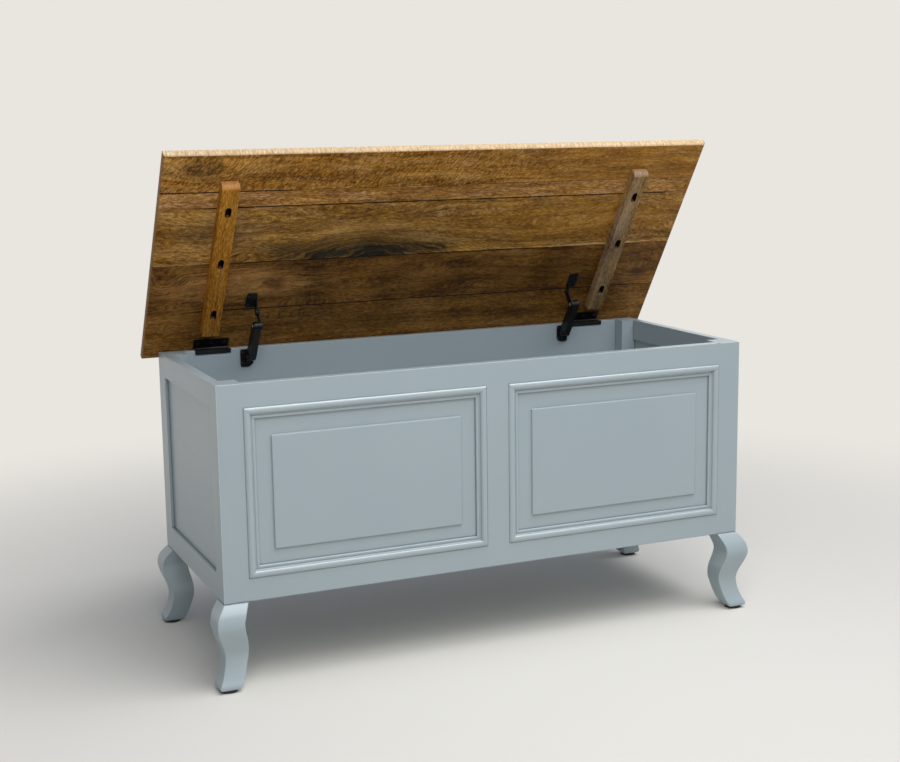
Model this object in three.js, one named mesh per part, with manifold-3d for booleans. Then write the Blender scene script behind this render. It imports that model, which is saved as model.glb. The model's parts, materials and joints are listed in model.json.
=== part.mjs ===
// Blanket chest on four cabriole legs: a painted frame-and-panel body and a plank lid on two butt
// hinges, held open by two jointed stays. Millimetres, +Z up, the front faces -Y.
// The origin is on the floor under the middle of the body. At rest the lid stands open.
import * as THREE from "three";
import { mergeVertices } from "three/addons/utils/BufferGeometryUtils.js";
import Module from "manifold-3d";

const wasm = await Module();
wasm.setup();

// Body
const width = 1100;
const depth = 440;
const bodyHeight = 402;
const postSize = 48;
const frameThickness = 18;
const frontTopRail = 44;
const frontBottomRail = 42;
const sideTopRail = 45;
const sideBottomRail = 47;
const backTopRail = 76;
const centreStile = 46;

// Joints of the body
const fit = 0.3;
const overrun = 4;
const tenonLength = 24;
const tenonThickness = 7;
const tenonShoulder = 9;
const tongue = 7;

// Panels
const panelThickness = 8;
const frontPanelRecess = 7;
const sidePanelRecess = 6;
const fieldRise = 4;
const fieldMargin = 31;
const fieldDrop = 3;

// Mouldings round the front panels
const mouldingWidth = 21.5;
const beadWidth = 13;
const beadRise = 3.2;
const beadShoulder = 1.5;
const lipWidth = 5.5;
const lipHeight = 3;
const lipRise = 1.4;

// Floor of the chest
const floorThickness = 10;
const cleatSize = 16;

// Legs
const legHeight = 158;
const legSize = 46;
const legSwing = 19;
const legTenonSize = 16;
const legTenonLength = 25;
const glideHeight = 6;
const glideRadius = 17;

// Lid
const lidThickness = 19;
const lidFrontOverhang = 34;
const lidSideOverhang = 31;
const lidBackOverhang = 23;
const lidRoundover = 5.5;
const lidBoardShares = [0.173, 0.075, 0.273, 0.241];
const lidOpenDegrees = 56.4;

// Battens under the lid
const leftBattenInset = 99.5;
const rightBattenInset = 113;
const battenWidth = 35;
const battenThickness = 18;
const battenFrontClearance = 9;
const battenBackClearance = 25.6;
const battenRound = 11;
const battenSlotShares = [0.165, 0.502, 0.85];
const slotWidth = 12;
const slotLength = 24;
const slotDepth = 11;
const screwSlotWidth = 6;
const screwSlotLength = 17;

// Hinges
const leftHingeInset = 108.5;
const rightHingeInset = 123.5;
const hingeLength = 74;
const leafThickness = 1.6;
const lidLeafDepth = 24.5;
const leafLip = 8.5;
const knuckleRadius = 3;
const knuckleCount = 5;
const hingePinRadius = 1.4;

// Stays
const leftStayInset = 184;
const rightStayInset = 188;
const strap = 2.5;
const housingThickness = 14.5;
const housingWidth = 22;
const housingNeck = 9;
const housingNeckRadius = 7.5;
const housingElbowRadius = 9;
const boxPivotDrop = 19.1;
const boxPivotStandoff = 14.4;
const lowerArmLength = 84.5;
const lowerArmLeanDegrees = 34.5;
const upperArmElbowRadius = 8.5;
const upperArmLidRadius = 6;
const upperArmThickness = 3;
const lidPivotReach = 98.8;
const lidPivotDrop = 13.8;
const earRadius = 7.5;
const pivotRadius = 3;
const rivetHeadRadius = 5;
const rivetHead = 1.5;
const leftBoxPlateReach = [8, 19];
const rightBoxPlateReach = [12, 13];
const boxPlateHeight = 36;
const boxPlateDrop = 4;
const boxPlateChamfer = [9, 7];
const plateCorner = 4;
const lidPlateWidth = 22;
const lidPlateLength = 35;
const lidPlateBack = 104.5;

// Derived places
const halfWidth = width / 2;
const halfDepth = depth / 2;
const bodyBottom = legHeight + glideHeight;
const rim = bodyBottom + bodyHeight;
const postFaceX = halfWidth - postSize;
const postFaceY = halfDepth - postSize;
const railFaceX = halfWidth - frameThickness;
const railFaceY = halfDepth - frameThickness;
const lidGap = leafThickness + fit + fit;
const axisY = halfDepth + knuckleRadius + fit;
const axisZ = rim + fit / 2;
const lidUnderside = rim + lidGap - axisZ;
const lidOpen = THREE.MathUtils.degToRad(lidOpenDegrees);

// Finishes
const paint = { color: 0x9aa7ac, roughness: 0.5, metalness: 0 };
const oiledWood = { color: 0x7b5a35, roughness: 0.6, metalness: 0 };
const blackSteel = { color: 0x17171a, roughness: 0.45, metalness: 0.6 };
const blackPlastic = { color: 0x1c1c1c, roughness: 0.7, metalness: 0 };

const chest = new THREE.Group();
const lid = new THREE.Group();
lid.position.set(0, axisY, axisZ);
lid.rotation.x = -lidOpen;
chest.add(lid);

// A named piece of the given geometry and finish, in the given group.
function piece(group, name, geometry, finish) {
  const mesh = new THREE.Mesh(geometry, new THREE.MeshStandardMaterial(finish));
  mesh.name = name;
  group.add(mesh);
  return mesh;
}

// The closed solid of a geometry, for joins and cuts.
function solid(geometry) {
  const bare = geometry.clone();
  bare.deleteAttribute("normal");
  bare.deleteAttribute("uv");
  const merged = mergeVertices(bare);
  return new wasm.Manifold(
    new wasm.Mesh({
      numProp: 3,
      vertProperties: merged.attributes.position.array,
      triVerts: new Uint32Array(merged.index.array),
    }),
  );
}

// The geometry of a solid, flat shaded.
function geometryOf(body) {
  const mesh = body.getMesh();
  const geometry = new THREE.BufferGeometry();
  geometry.setAttribute("position", new THREE.BufferAttribute(mesh.vertProperties, mesh.numProp));
  geometry.setIndex(new THREE.BufferAttribute(mesh.triVerts, 1));
  const flat = geometry.toNonIndexed();
  flat.computeVertexNormals();
  return flat;
}

// One geometry of a base with pieces joined on and others cut away, in that order.
function shaped(base, joined, cuts) {
  let body = solid(base);
  for (const extra of joined) {
    body = body.add(solid(extra));
  }
  for (const gone of cuts) {
    body = body.subtract(solid(gone));
  }
  return geometryOf(body);
}

// A box whose faces lie exactly at the given [low, high] pairs.
function block(xs, ys, zs) {
  const geometry = new THREE.BoxGeometry(1, 1, 1);
  const place = geometry.attributes.position;
  for (let i = 0; i < place.count; i++) {
    const x = place.getX(i) < 0 ? xs[0] : xs[1];
    const y = place.getY(i) < 0 ? ys[0] : ys[1];
    const z = place.getZ(i) < 0 ? zs[0] : zs[1];
    place.setXYZ(i, x, y, z);
  }
  return geometry;
}

// A [low, high] pair on the side that the sign picks.
function span(sign, near, far) {
  return sign > 0 ? [near, far] : [-far, -near];
}

// A [low, high] pair grown by a margin at both ends.
function grown(pair, margin) {
  return [pair[0] - margin, pair[1] + margin];
}

// An outline extruded along an axis between two places. Its two coordinates are the next two axes
// in turn: y and z along x, z and x along y, x and y along z.
function prism(outline, axis, places, curveSegments) {
  const geometry = new THREE.ExtrudeGeometry(outline, {
    depth: places[1] - places[0],
    bevelEnabled: false,
    curveSegments,
  });
  const x = new THREE.Vector3(1, 0, 0);
  const y = new THREE.Vector3(0, 1, 0);
  const z = new THREE.Vector3(0, 0, 1);
  const turned = new THREE.Matrix4();
  if (axis === "x") {
    turned.makeBasis(y, z, x).setPosition(places[0], 0, 0);
  } else if (axis === "y") {
    turned.makeBasis(z, x, y).setPosition(0, places[0], 0);
  } else {
    turned.setPosition(0, 0, places[0]);
  }
  return geometry.applyMatrix4(turned);
}

// A round bar along x.
function bar(radius, xs, y, z, segments) {
  const outline = new THREE.Shape();
  outline.absarc(y, z, radius, 0, Math.PI * 2, false);
  return prism(outline, "x", xs, segments);
}

// An outline round two circles, with straight tangents between them.
function link(from, to, fromRadius, toRadius) {
  const run = new THREE.Vector2().subVectors(to, from);
  const heading = run.angle();
  const lean = Math.acos((fromRadius - toRadius) / run.length());
  const outline = new THREE.Shape();
  outline.absarc(from.x, from.y, fromRadius, heading + lean, heading - lean + 2 * Math.PI, false);
  outline.absarc(to.x, to.y, toRadius, heading - lean, heading + lean, false);
  return outline;
}

// An outline that is square at one end, of a given width there, and round about a circle at the
// other end.
function channel(from, to, fromWidth, toRadius) {
  const run = new THREE.Vector2().subVectors(to, from);
  const heading = run.angle();
  const across = new THREE.Vector2(-run.y, run.x).setLength(fromWidth / 2);
  const outline = new THREE.Shape();
  outline.moveTo(from.x + across.x, from.y + across.y);
  outline.lineTo(from.x - across.x, from.y - across.y);
  outline.absarc(to.x, to.y, toRadius, heading - Math.PI / 2, heading + Math.PI / 2, false);
  return outline;
}

// The outline through the given corners, in turn, with each corner rounded off.
function roundedOutline(points, radius) {
  const outline = new THREE.Shape();
  const near = (from, to) => from.clone().add(to.clone().sub(from).setLength(radius));
  points.forEach((point, i) => {
    const before = points[(i + points.length - 1) % points.length];
    const after = points[(i + 1) % points.length];
    const enter = near(point, before);
    const leave = near(point, after);
    if (i === 0) {
      outline.moveTo(enter.x, enter.y);
    } else {
      outline.lineTo(enter.x, enter.y);
    }
    outline.quadraticCurveTo(point.x, point.y, leave.x, leave.y);
  });
  return outline;
}

const ends = [
  {
    label: "front",
    sign: -1,
    topRail: frontTopRail,
    bottomRail: frontBottomRail,
    recess: frontPanelRecess,
  },
  {
    label: "back",
    sign: 1,
    topRail: backTopRail,
    bottomRail: sideBottomRail,
    recess: sidePanelRecess,
  },
];
const sides = [
  {
    label: "left",
    sign: -1,
    hingeInset: leftHingeInset,
    battenInset: leftBattenInset,
    stayInset: leftStayInset,
    boxPlateReach: leftBoxPlateReach,
  },
  {
    label: "right",
    sign: 1,
    hingeInset: rightHingeInset,
    battenInset: rightBattenInset,
    stayInset: rightStayInset,
    boxPlateReach: rightBoxPlateReach,
  },
];

// Heights of a frame: its two rails, the opening between them and the reach of a panel's tongues.
function frameHeights(topRail, bottomRail) {
  const opening = [bodyBottom + bottomRail, rim - topRail];
  return {
    bottom: [bodyBottom, opening[0]],
    top: [opening[1], rim],
    opening,
    panel: grown(opening, tongue),
  };
}

// The middle part of a frame's thickness, where its tenons lie.
function tenonLayer(sign, half) {
  const middle = half - frameThickness / 2;
  return span(sign, middle - tenonThickness / 2, middle + tenonThickness / 2);
}

// The layer of a frame's thickness that its panel fills.
function panelLayer(sign, half, recess) {
  return span(sign, half - recess - panelThickness, half - recess);
}

// Corner posts, mortised for the rails and the leg and grooved for the panels.
for (const end of ends) {
  for (const side of sides) {
    const xs = span(side.sign, postFaceX, halfWidth);
    const ys = span(end.sign, postFaceY, halfDepth);
    const long = frameHeights(end.topRail, end.bottomRail);
    const short = frameHeights(sideTopRail, sideBottomRail);
    const longTenon = span(side.sign, postFaceX - overrun, postFaceX + tenonLength + fit);
    const shortTenon = span(end.sign, postFaceY - overrun, postFaceY + tenonLength + fit);
    const cuts = [];
    for (const rail of [long.bottom, long.top]) {
      const layer = grown(tenonLayer(end.sign, halfDepth), fit);
      cuts.push(block(longTenon, layer, grown(rail, fit - tenonShoulder)));
    }
    for (const rail of [short.bottom, short.top]) {
      const layer = grown(tenonLayer(side.sign, halfWidth), fit);
      cuts.push(block(layer, shortTenon, grown(rail, fit - tenonShoulder)));
    }
    const longGroove = span(side.sign, postFaceX - overrun, postFaceX + tongue + fit);
    const longLayer = grown(panelLayer(end.sign, halfDepth, end.recess), fit);
    cuts.push(block(longGroove, longLayer, grown(long.panel, fit)));
    const shortGroove = span(end.sign, postFaceY - overrun, postFaceY + tongue + fit);
    const shortLayer = grown(panelLayer(side.sign, halfWidth, sidePanelRecess), fit);
    cuts.push(block(shortLayer, shortGroove, grown(short.panel, fit)));
    const middle = postSize / 2;
    const hole = [middle - legTenonSize / 2 - fit, middle + legTenonSize / 2 + fit];
    const holeX = span(side.sign, postFaceX + hole[0], postFaceX + hole[1]);
    const holeY = span(end.sign, postFaceY + hole[0], postFaceY + hole[1]);
    cuts.push(block(holeX, holeY, [bodyBottom - overrun, bodyBottom + legTenonLength + fit]));
    const post = shaped(block(xs, ys, [bodyBottom, rim]), [], cuts);
    piece(chest, `post_${end.label}_${side.label}`, post, paint);
  }
}

// Long rails of the front and the back. The front ones are mortised for the centre stile, and the
// back one on top is let in for the hinge leaves.
for (const end of ends) {
  const heights = frameHeights(end.topRail, end.bottomRail);
  const ys = span(end.sign, railFaceY, halfDepth);
  const layer = tenonLayer(end.sign, halfDepth);
  const groove = grown(panelLayer(end.sign, halfDepth, end.recess), fit);
  const full = [-postFaceX, postFaceX];
  for (const level of ["bottom", "top"]) {
    const zs = heights[level];
    const tenonZ = grown(zs, -tenonShoulder);
    const tenons = sides.map((side) =>
      block(span(side.sign, postFaceX - overrun, postFaceX + tenonLength), layer, tenonZ),
    );
    const inner = level === "bottom" ? zs[1] : zs[0];
    const into = level === "bottom" ? -1 : 1;
    const grooveZ = [inner - tongue - fit, inner + tongue + fit];
    const cuts = [block(full, groove, grooveZ)];
    if (end.sign < 0) {
      const mortiseX = grown([-centreStile / 2, centreStile / 2], fit - tenonShoulder);
      const mortiseEnds = [inner - into * overrun, inner + into * (tenonLength + fit)];
      const mortiseZ = [Math.min(...mortiseEnds), Math.max(...mortiseEnds)];
      cuts.push(block(mortiseX, grown(layer, fit), mortiseZ));
    }
    if (end.sign > 0 && level === "top") {
      for (const side of sides) {
        const middle = side.sign * (halfWidth - side.hingeInset);
        const leafX = grown([middle - hingeLength / 2, middle + hingeLength / 2], fit);
        const sunk = [rim - leafThickness - fit, rim + overrun];
        cuts.push(block(leafX, grown(ys, overrun), sunk));
      }
    }
    const rail = shaped(block(full, ys, zs), tenons, cuts);
    piece(chest, `rail_${end.label}_${level}`, rail, paint);
  }
}

// Short rails of the two sides.
for (const side of sides) {
  const heights = frameHeights(sideTopRail, sideBottomRail);
  const xs = span(side.sign, railFaceX, halfWidth);
  const layer = tenonLayer(side.sign, halfWidth);
  const groove = grown(panelLayer(side.sign, halfWidth, sidePanelRecess), fit);
  const full = [-postFaceY, postFaceY];
  for (const level of ["bottom", "top"]) {
    const zs = heights[level];
    const tenons = ends.map((end) =>
      block(
        layer,
        span(end.sign, postFaceY - overrun, postFaceY + tenonLength),
        grown(zs, -tenonShoulder),
      ),
    );
    const inner = level === "bottom" ? zs[1] : zs[0];
    const cuts = [block(groove, full, [inner - tongue - fit, inner + tongue + fit])];
    const rail = shaped(block(xs, full, zs), tenons, cuts);
    piece(chest, `rail_${side.label}_${level}`, rail, paint);
  }
}

// Centre stile of the front, tenoned into both rails.
const front = frameHeights(frontTopRail, frontBottomRail);
const stileX = [-centreStile / 2, centreStile / 2];
const frontY = span(-1, railFaceY, halfDepth);
const frontTenonY = tenonLayer(-1, halfDepth);
const frontGroove = grown(panelLayer(-1, halfDepth, frontPanelRecess), fit);
const stileTenon = block(
  grown(stileX, -tenonShoulder),
  frontTenonY,
  grown(front.opening, tenonLength),
);
const stileGrooves = sides.map((side) => {
  const depthX = span(side.sign, stileX[1] - tongue - fit, stileX[1] + overrun);
  return block(depthX, frontGroove, front.opening);
});
const stile = shaped(block(stileX, frontY, front.opening), [stileTenon], stileGrooves);
piece(chest, "centre_stile", stile, paint);

// Front panels, tongued all round, each with a raised field.
const mouldingInner = mouldingWidth + fieldMargin;
for (const side of sides) {
  const openingX = span(side.sign, stileX[1], postFaceX);
  const layer = panelLayer(-1, halfDepth, frontPanelRecess);
  const plate = block(grown(openingX, tongue), layer, front.panel);
  const fieldY = [layer[0] - fieldRise, layer[1]];
  const fieldZ = grown(front.opening, -mouldingInner).map((z) => z - fieldDrop);
  const field = block(grown(openingX, -mouldingInner), fieldY, fieldZ);
  piece(chest, `panel_front_${side.label}`, shaped(plate, [field], []), paint);
}

// Flat panels of the sides and the back.
const sideHeights = frameHeights(sideTopRail, sideBottomRail);
const backHeights = frameHeights(backTopRail, sideBottomRail);
for (const side of sides) {
  const panel = block(
    panelLayer(side.sign, halfWidth, sidePanelRecess),
    grown([-postFaceY, postFaceY], tongue),
    sideHeights.panel,
  );
  piece(chest, `panel_${side.label}`, panel, paint);
}
const backPanel = block(
  grown([-postFaceX, postFaceX], tongue),
  panelLayer(1, halfDepth, sidePanelRecess),
  backHeights.panel,
);
piece(chest, "panel_back", backPanel, paint);

// Section of the moulding: across from its outer edge, and out from the panel. A broad bead stands
// proud of the frame, a cove runs down from it, and a small bead stands along the inner edge.
function mouldingSection() {
  const foot = frontPanelRecess - beadShoulder;
  const lipMiddle = mouldingWidth - lipWidth / 2;
  const bead = beadWidth / 2;
  const outline = new THREE.Shape();
  outline.moveTo(mouldingWidth, 0);
  outline.lineTo(mouldingWidth, lipHeight);
  outline.absellipse(lipMiddle, lipHeight, lipWidth / 2, lipRise, 0, Math.PI, false, 0);
  outline.quadraticCurveTo(beadWidth, lipHeight, beadWidth, foot);
  outline.absellipse(bead, foot, bead, beadShoulder + beadRise, 0, Math.PI, false, 0);
  outline.lineTo(0, 0);
  return outline;
}

// A strip of moulding, mitred at both ends. The run and inward directions are unit vectors, and
// the strip starts at the corner of the opening.
function mouldingStrip(corner, run, inward, length) {
  const geometry = new THREE.ExtrudeGeometry(mouldingSection(), {
    depth: 1,
    bevelEnabled: false,
    curveSegments: 6,
  });
  const place = geometry.attributes.position;
  for (let i = 0; i < place.count; i++) {
    const across = place.getX(i) + fit;
    const start = across + fit / 2;
    const along = place.getZ(i) > 0 ? length - start : start;
    place.setXYZ(i, along, across, place.getY(i) + fit);
  }
  const outward = new THREE.Vector3(0, -1, 0);
  const turned = new THREE.Matrix4().makeBasis(run, inward, outward).setPosition(corner);
  return geometry.applyMatrix4(turned);
}

// Mouldings of both front panels, four mitred strips each.
for (const side of sides) {
  const xs = span(side.sign, stileX[1], postFaceX);
  const zs = front.opening;
  const y = -(halfDepth - frontPanelRecess);
  const right = new THREE.Vector3(1, 0, 0);
  const left = new THREE.Vector3(-1, 0, 0);
  const up = new THREE.Vector3(0, 0, 1);
  const down = new THREE.Vector3(0, 0, -1);
  const strips = [
    { label: "bottom", x: xs[0], z: zs[0], run: right, inward: up, length: xs[1] - xs[0] },
    { label: "right", x: xs[1], z: zs[0], run: up, inward: left, length: zs[1] - zs[0] },
    { label: "top", x: xs[1], z: zs[1], run: left, inward: down, length: xs[1] - xs[0] },
    { label: "left", x: xs[0], z: zs[1], run: down, inward: right, length: zs[1] - zs[0] },
  ];
  for (const strip of strips) {
    const corner = new THREE.Vector3(strip.x, y, strip.z);
    const geometry = mouldingStrip(corner, strip.run, strip.inward, strip.length);
    piece(chest, `moulding_${side.label}_panel_${strip.label}`, geometry, paint);
  }
}

// Floor board, notched round the posts, on two cleats along the bottom rails.
const floorX = railFaceX - fit;
const floorY = railFaceY - fit;
const notchX = postFaceX - fit;
const notchY = postFaceY - fit;
const floorOutline = new THREE.Shape();
floorOutline.moveTo(-notchX, -floorY);
floorOutline.lineTo(notchX, -floorY);
floorOutline.lineTo(notchX, -notchY);
floorOutline.lineTo(floorX, -notchY);
floorOutline.lineTo(floorX, notchY);
floorOutline.lineTo(notchX, notchY);
floorOutline.lineTo(notchX, floorY);
floorOutline.lineTo(-notchX, floorY);
floorOutline.lineTo(-notchX, notchY);
floorOutline.lineTo(-floorX, notchY);
floorOutline.lineTo(-floorX, -notchY);
floorOutline.lineTo(-notchX, -notchY);
const cleatTop = bodyBottom + cleatSize;
const floorZ = [cleatTop + fit, cleatTop + fit + floorThickness];
piece(chest, "floor_board", prism(floorOutline, "z", floorZ, 1), paint);
for (const end of ends) {
  const ys = span(end.sign, railFaceY - fit - cleatSize, railFaceY - fit);
  const cleat = block([-notchX, notchX], ys, [bodyBottom, cleatTop]);
  piece(chest, `floor_cleat_${end.label}`, cleat, paint);
}

// Outline of a leg from the side: the drop below the body as shares of the leg's height, with the
// outer face as shares of its swing out of the body's corner, and the inner face as shares of its size.
const legOuterShares = [
  [0, 0],
  [0.065, 0.44],
  [0.15, 0.86],
  [0.257, 1],
  [0.36, 0.82],
  [0.479, 0.44],
  [0.57, 0.19],
  [0.66, 0.12],
  [0.77, 0.265],
  [0.88, 0.56],
  [0.955, 0.86],
  [1, 0.88],
];
const legInnerShares = [
  [1, 0.47],
  [0.93, 0.6],
  [0.85, 0.71],
  [0.76, 0.8],
  [0.66, 0.885],
  [0.58, 0.91],
  [0.48, 0.88],
  [0.38, 0.8],
  [0.3, 0.74],
  [0.22, 0.72],
  [0.12, 0.82],
  [0, 1],
];
const legCurveSteps = 22;

// A leg is sawn to the same outline on both faces, then tenoned into the post above it.
// It is drawn at a corner of the body that faces +X and +Y.
function legGeometry() {
  const top = bodyBottom - fit;
  const drawn = legHeight - fit - fit;
  const outer = legOuterShares.map(
    ([drop, swing]) => new THREE.Vector2(swing * legSwing, top - drop * drawn),
  );
  const inner = legInnerShares.map(
    ([drop, size]) => new THREE.Vector2(-size * legSize, top - drop * drawn),
  );
  const points = [
    ...new THREE.SplineCurve(outer).getPoints(legCurveSteps),
    ...new THREE.SplineCurve(inner).getPoints(legCurveSteps),
  ];
  const sawn = new THREE.Shape(points);
  const swapped = new THREE.Shape(points.map((point) => new THREE.Vector2(point.y, point.x)));
  const reach = [-legSize - overrun, legSwing + overrun];
  const alongX = solid(prism(sawn, "x", reach, 1));
  const alongY = solid(prism(swapped, "y", reach, 1));
  const middle = -postSize / 2;
  const tenonSides = [middle - legTenonSize / 2, middle + legTenonSize / 2];
  const tenonZ = [bodyBottom - overrun, bodyBottom + legTenonLength];
  const tenon = solid(block(tenonSides, tenonSides, tenonZ));
  return geometryOf(alongX.intersect(alongY).add(tenon));
}

// Four legs, each the same one turned to its corner, with a glide under its toe.
const corners = [
  { label: "back_right", x: 1, y: 1, turn: 0 },
  { label: "back_left", x: -1, y: 1, turn: 1 },
  { label: "front_left", x: -1, y: -1, turn: 2 },
  { label: "front_right", x: 1, y: -1, turn: 3 },
];
const lastOuter = legOuterShares[legOuterShares.length - 1];
const footMiddle = (lastOuter[1] * legSwing - legInnerShares[0][1] * legSize) / 2;
for (const corner of corners) {
  const leg = piece(chest, `leg_${corner.label}`, legGeometry(), paint);
  leg.position.set(corner.x * halfWidth, corner.y * halfDepth, 0);
  leg.rotation.z = (corner.turn * Math.PI) / 2;
  const disc = new THREE.CylinderGeometry(glideRadius, glideRadius, glideHeight, 28);
  disc.rotateX(Math.PI / 2);
  const glide = piece(chest, `glide_${corner.label}`, disc, blackPlastic);
  const x = corner.x * (halfWidth + footMiddle);
  const y = corner.y * (halfDepth + footMiddle);
  glide.position.set(x, y, glideHeight / 2);
}

// The lid as one slab with rounded edges, in the lid's own frame with the hinge axis as its origin.
const lidFront = -(axisY + halfDepth + lidFrontOverhang);
const lidBack = halfDepth + lidBackOverhang - axisY;
const lidSide = halfWidth + lidSideOverhang;
const slabOutline = new THREE.Shape();
slabOutline.moveTo(-lidSide + lidRoundover, lidFront + lidRoundover);
slabOutline.lineTo(lidSide - lidRoundover, lidFront + lidRoundover);
slabOutline.lineTo(lidSide - lidRoundover, lidBack - lidRoundover);
slabOutline.lineTo(-lidSide + lidRoundover, lidBack - lidRoundover);
const slab = new THREE.ExtrudeGeometry(slabOutline, {
  depth: lidThickness - 2 * lidRoundover,
  bevelThickness: lidRoundover,
  bevelSize: lidRoundover,
  bevelSegments: 4,
});
slab.translate(0, 0, lidUnderside + lidRoundover);

// Boards of the lid, sawn out of the slab with a hairline between them. The one at the back is let
// in round the hinge knuckles.
const boardEdges = [lidFront];
for (const share of lidBoardShares) {
  boardEdges.push(boardEdges[boardEdges.length - 1] + share * (lidBack - lidFront));
}
boardEdges.push(lidBack);
const wholeX = [-lidSide - overrun, lidSide + overrun];
const wholeZ = [lidUnderside - overrun, lidUnderside + lidThickness + overrun];
const lastBoard = boardEdges.length - 2;
for (let i = 0; i <= lastBoard; i++) {
  const low = i === 0 ? boardEdges[0] - overrun : boardEdges[i] + fit / 2;
  const high = i === lastBoard ? lidBack + overrun : boardEdges[i + 1] - fit / 2;
  let board = solid(slab).intersect(solid(block(wholeX, [low, high], wholeZ)));
  if (i === lastBoard) {
    for (const side of sides) {
      const middle = side.sign * (halfWidth - side.hingeInset);
      const notchSpan = grown([middle - hingeLength / 2, middle + hingeLength / 2], fit);
      const reach = knuckleRadius + fit;
      const notch = block(notchSpan, [-reach, reach], [lidUnderside - overrun, reach]);
      board = board.subtract(solid(notch));
    }
  }
  piece(lid, `lid_board_${i + 1}`, geometryOf(board), oiledWood);
}

// Battens across the boards, screwed through slots so that the boards can move.
const battenFront = -(axisY + railFaceY - battenFrontClearance);
const battenBack = railFaceY - battenBackClearance - axisY;
const battenZ = [lidUnderside - fit - battenThickness, lidUnderside - fit];
for (const side of sides) {
  const middle = side.sign * (halfWidth - side.battenInset);
  const outline = new THREE.Shape();
  const roundY = battenFront + battenRound;
  outline.moveTo(battenBack, battenZ[1]);
  outline.lineTo(battenFront, battenZ[1]);
  outline.absarc(roundY, battenZ[0] + battenRound, battenRound, Math.PI, 1.5 * Math.PI, false);
  outline.lineTo(battenBack, battenZ[0]);
  const bodyX = [middle - battenWidth / 2, middle + battenWidth / 2];
  const cuts = [];
  for (const share of battenSlotShares) {
    const y = battenFront + share * (battenBack - battenFront);
    const sizes = [
      { wide: slotWidth, long: slotLength, zs: [battenZ[0] - overrun, battenZ[0] + slotDepth] },
      { wide: screwSlotWidth, long: screwSlotLength, zs: grown(battenZ, overrun) },
    ];
    for (const size of sizes) {
      const offset = (size.long - size.wide) / 2;
      const from = new THREE.Vector2(middle, y - offset);
      const to = new THREE.Vector2(middle, y + offset);
      cuts.push(prism(link(from, to, size.wide / 2, size.wide / 2), "z", size.zs, 6));
    }
  }
  const batten = shaped(prism(outline, "x", bodyX, 6), [], cuts);
  piece(lid, `batten_${side.label}`, batten, oiledWood);
}

// Hinges: a leaf let into the back rail and turned down inside it, a leaf on the lid, and a pin.
// The knuckles take turns along the pin, so the two leaves share its length.
const knuckleLength = hingeLength / knuckleCount;
for (const side of sides) {
  const start = side.sign * (halfWidth - side.hingeInset) - hingeLength / 2;
  const leafX = [start, start + hingeLength];
  const bodyKnuckles = [];
  const lidKnuckles = [];
  for (let i = 0; i < knuckleCount; i++) {
    const low = start + i * knuckleLength;
    const xs = [i === 0 ? low : low + fit / 2, low + knuckleLength];
    xs[1] -= i === knuckleCount - 1 ? 0 : fit / 2;
    if (i % 2 === 0) {
      const tab = block(xs, [halfDepth - overrun, axisY], [rim - leafThickness, rim]);
      bodyKnuckles.push(tab, bar(knuckleRadius, xs, axisY, axisZ, 12));
    } else {
      const tabY = [-knuckleRadius - fit - overrun, 0];
      const tabZ = [lidUnderside - fit - leafThickness, lidUnderside - fit];
      lidKnuckles.push(block(xs, tabY, tabZ), bar(knuckleRadius, xs, 0, 0, 12));
    }
  }
  const boreX = grown(leafX, overrun);
  const innerY = railFaceY - fit - leafThickness;
  const top = block(leafX, [innerY, halfDepth], [rim - leafThickness, rim]);
  const lip = block(leafX, [innerY, railFaceY - fit], [rim - leafLip, rim]);
  const bodyBore = bar(hingePinRadius + fit, boreX, axisY, axisZ, 8);
  const bodyLeaf = shaped(top, [lip, ...bodyKnuckles], [bodyBore]);
  piece(chest, `hinge_${side.label}_body_leaf`, bodyLeaf, blackSteel);
  const flat = block(
    leafX,
    [-lidLeafDepth, -knuckleRadius - fit],
    [lidUnderside - fit - leafThickness, lidUnderside - fit],
  );
  const lidBore = bar(hingePinRadius + fit, boreX, 0, 0, 8);
  const lidLeaf = shaped(flat, lidKnuckles, [lidBore]);
  piece(lid, `hinge_${side.label}_lid_leaf`, lidLeaf, blackSteel);
  const pin = bar(hingePinRadius, leafX, axisY, axisZ, 8);
  piece(chest, `hinge_${side.label}_pin`, pin, blackSteel);
}

// Stays. From the outer side inwards lie the ear of the body bracket, the housing of the lower arm
// and the upper arm. The ear of the lid bracket lies over the housing, outside the upper arm. The
// elbow is where the two arms meet.
const boxPivot = new THREE.Vector2(railFaceY - boxPivotStandoff, rim - boxPivotDrop);
const armLean = THREE.MathUtils.degToRad(90 + lowerArmLeanDegrees);
const elbow = new THREE.Vector2(Math.cos(armLean), Math.sin(armLean));
elbow.multiplyScalar(lowerArmLength).add(boxPivot);
const lidPivot = new THREE.Vector2(-lidPivotReach, lidUnderside - lidPivotDrop);
const lidPivotOpen = lidPivot.clone().rotateAround(new THREE.Vector2(), -lidOpen);
lidPivotOpen.add(new THREE.Vector2(axisY, axisZ));
const housingFoot = boxPivot.clone().lerp(elbow, housingNeck / lowerArmLength);

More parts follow.
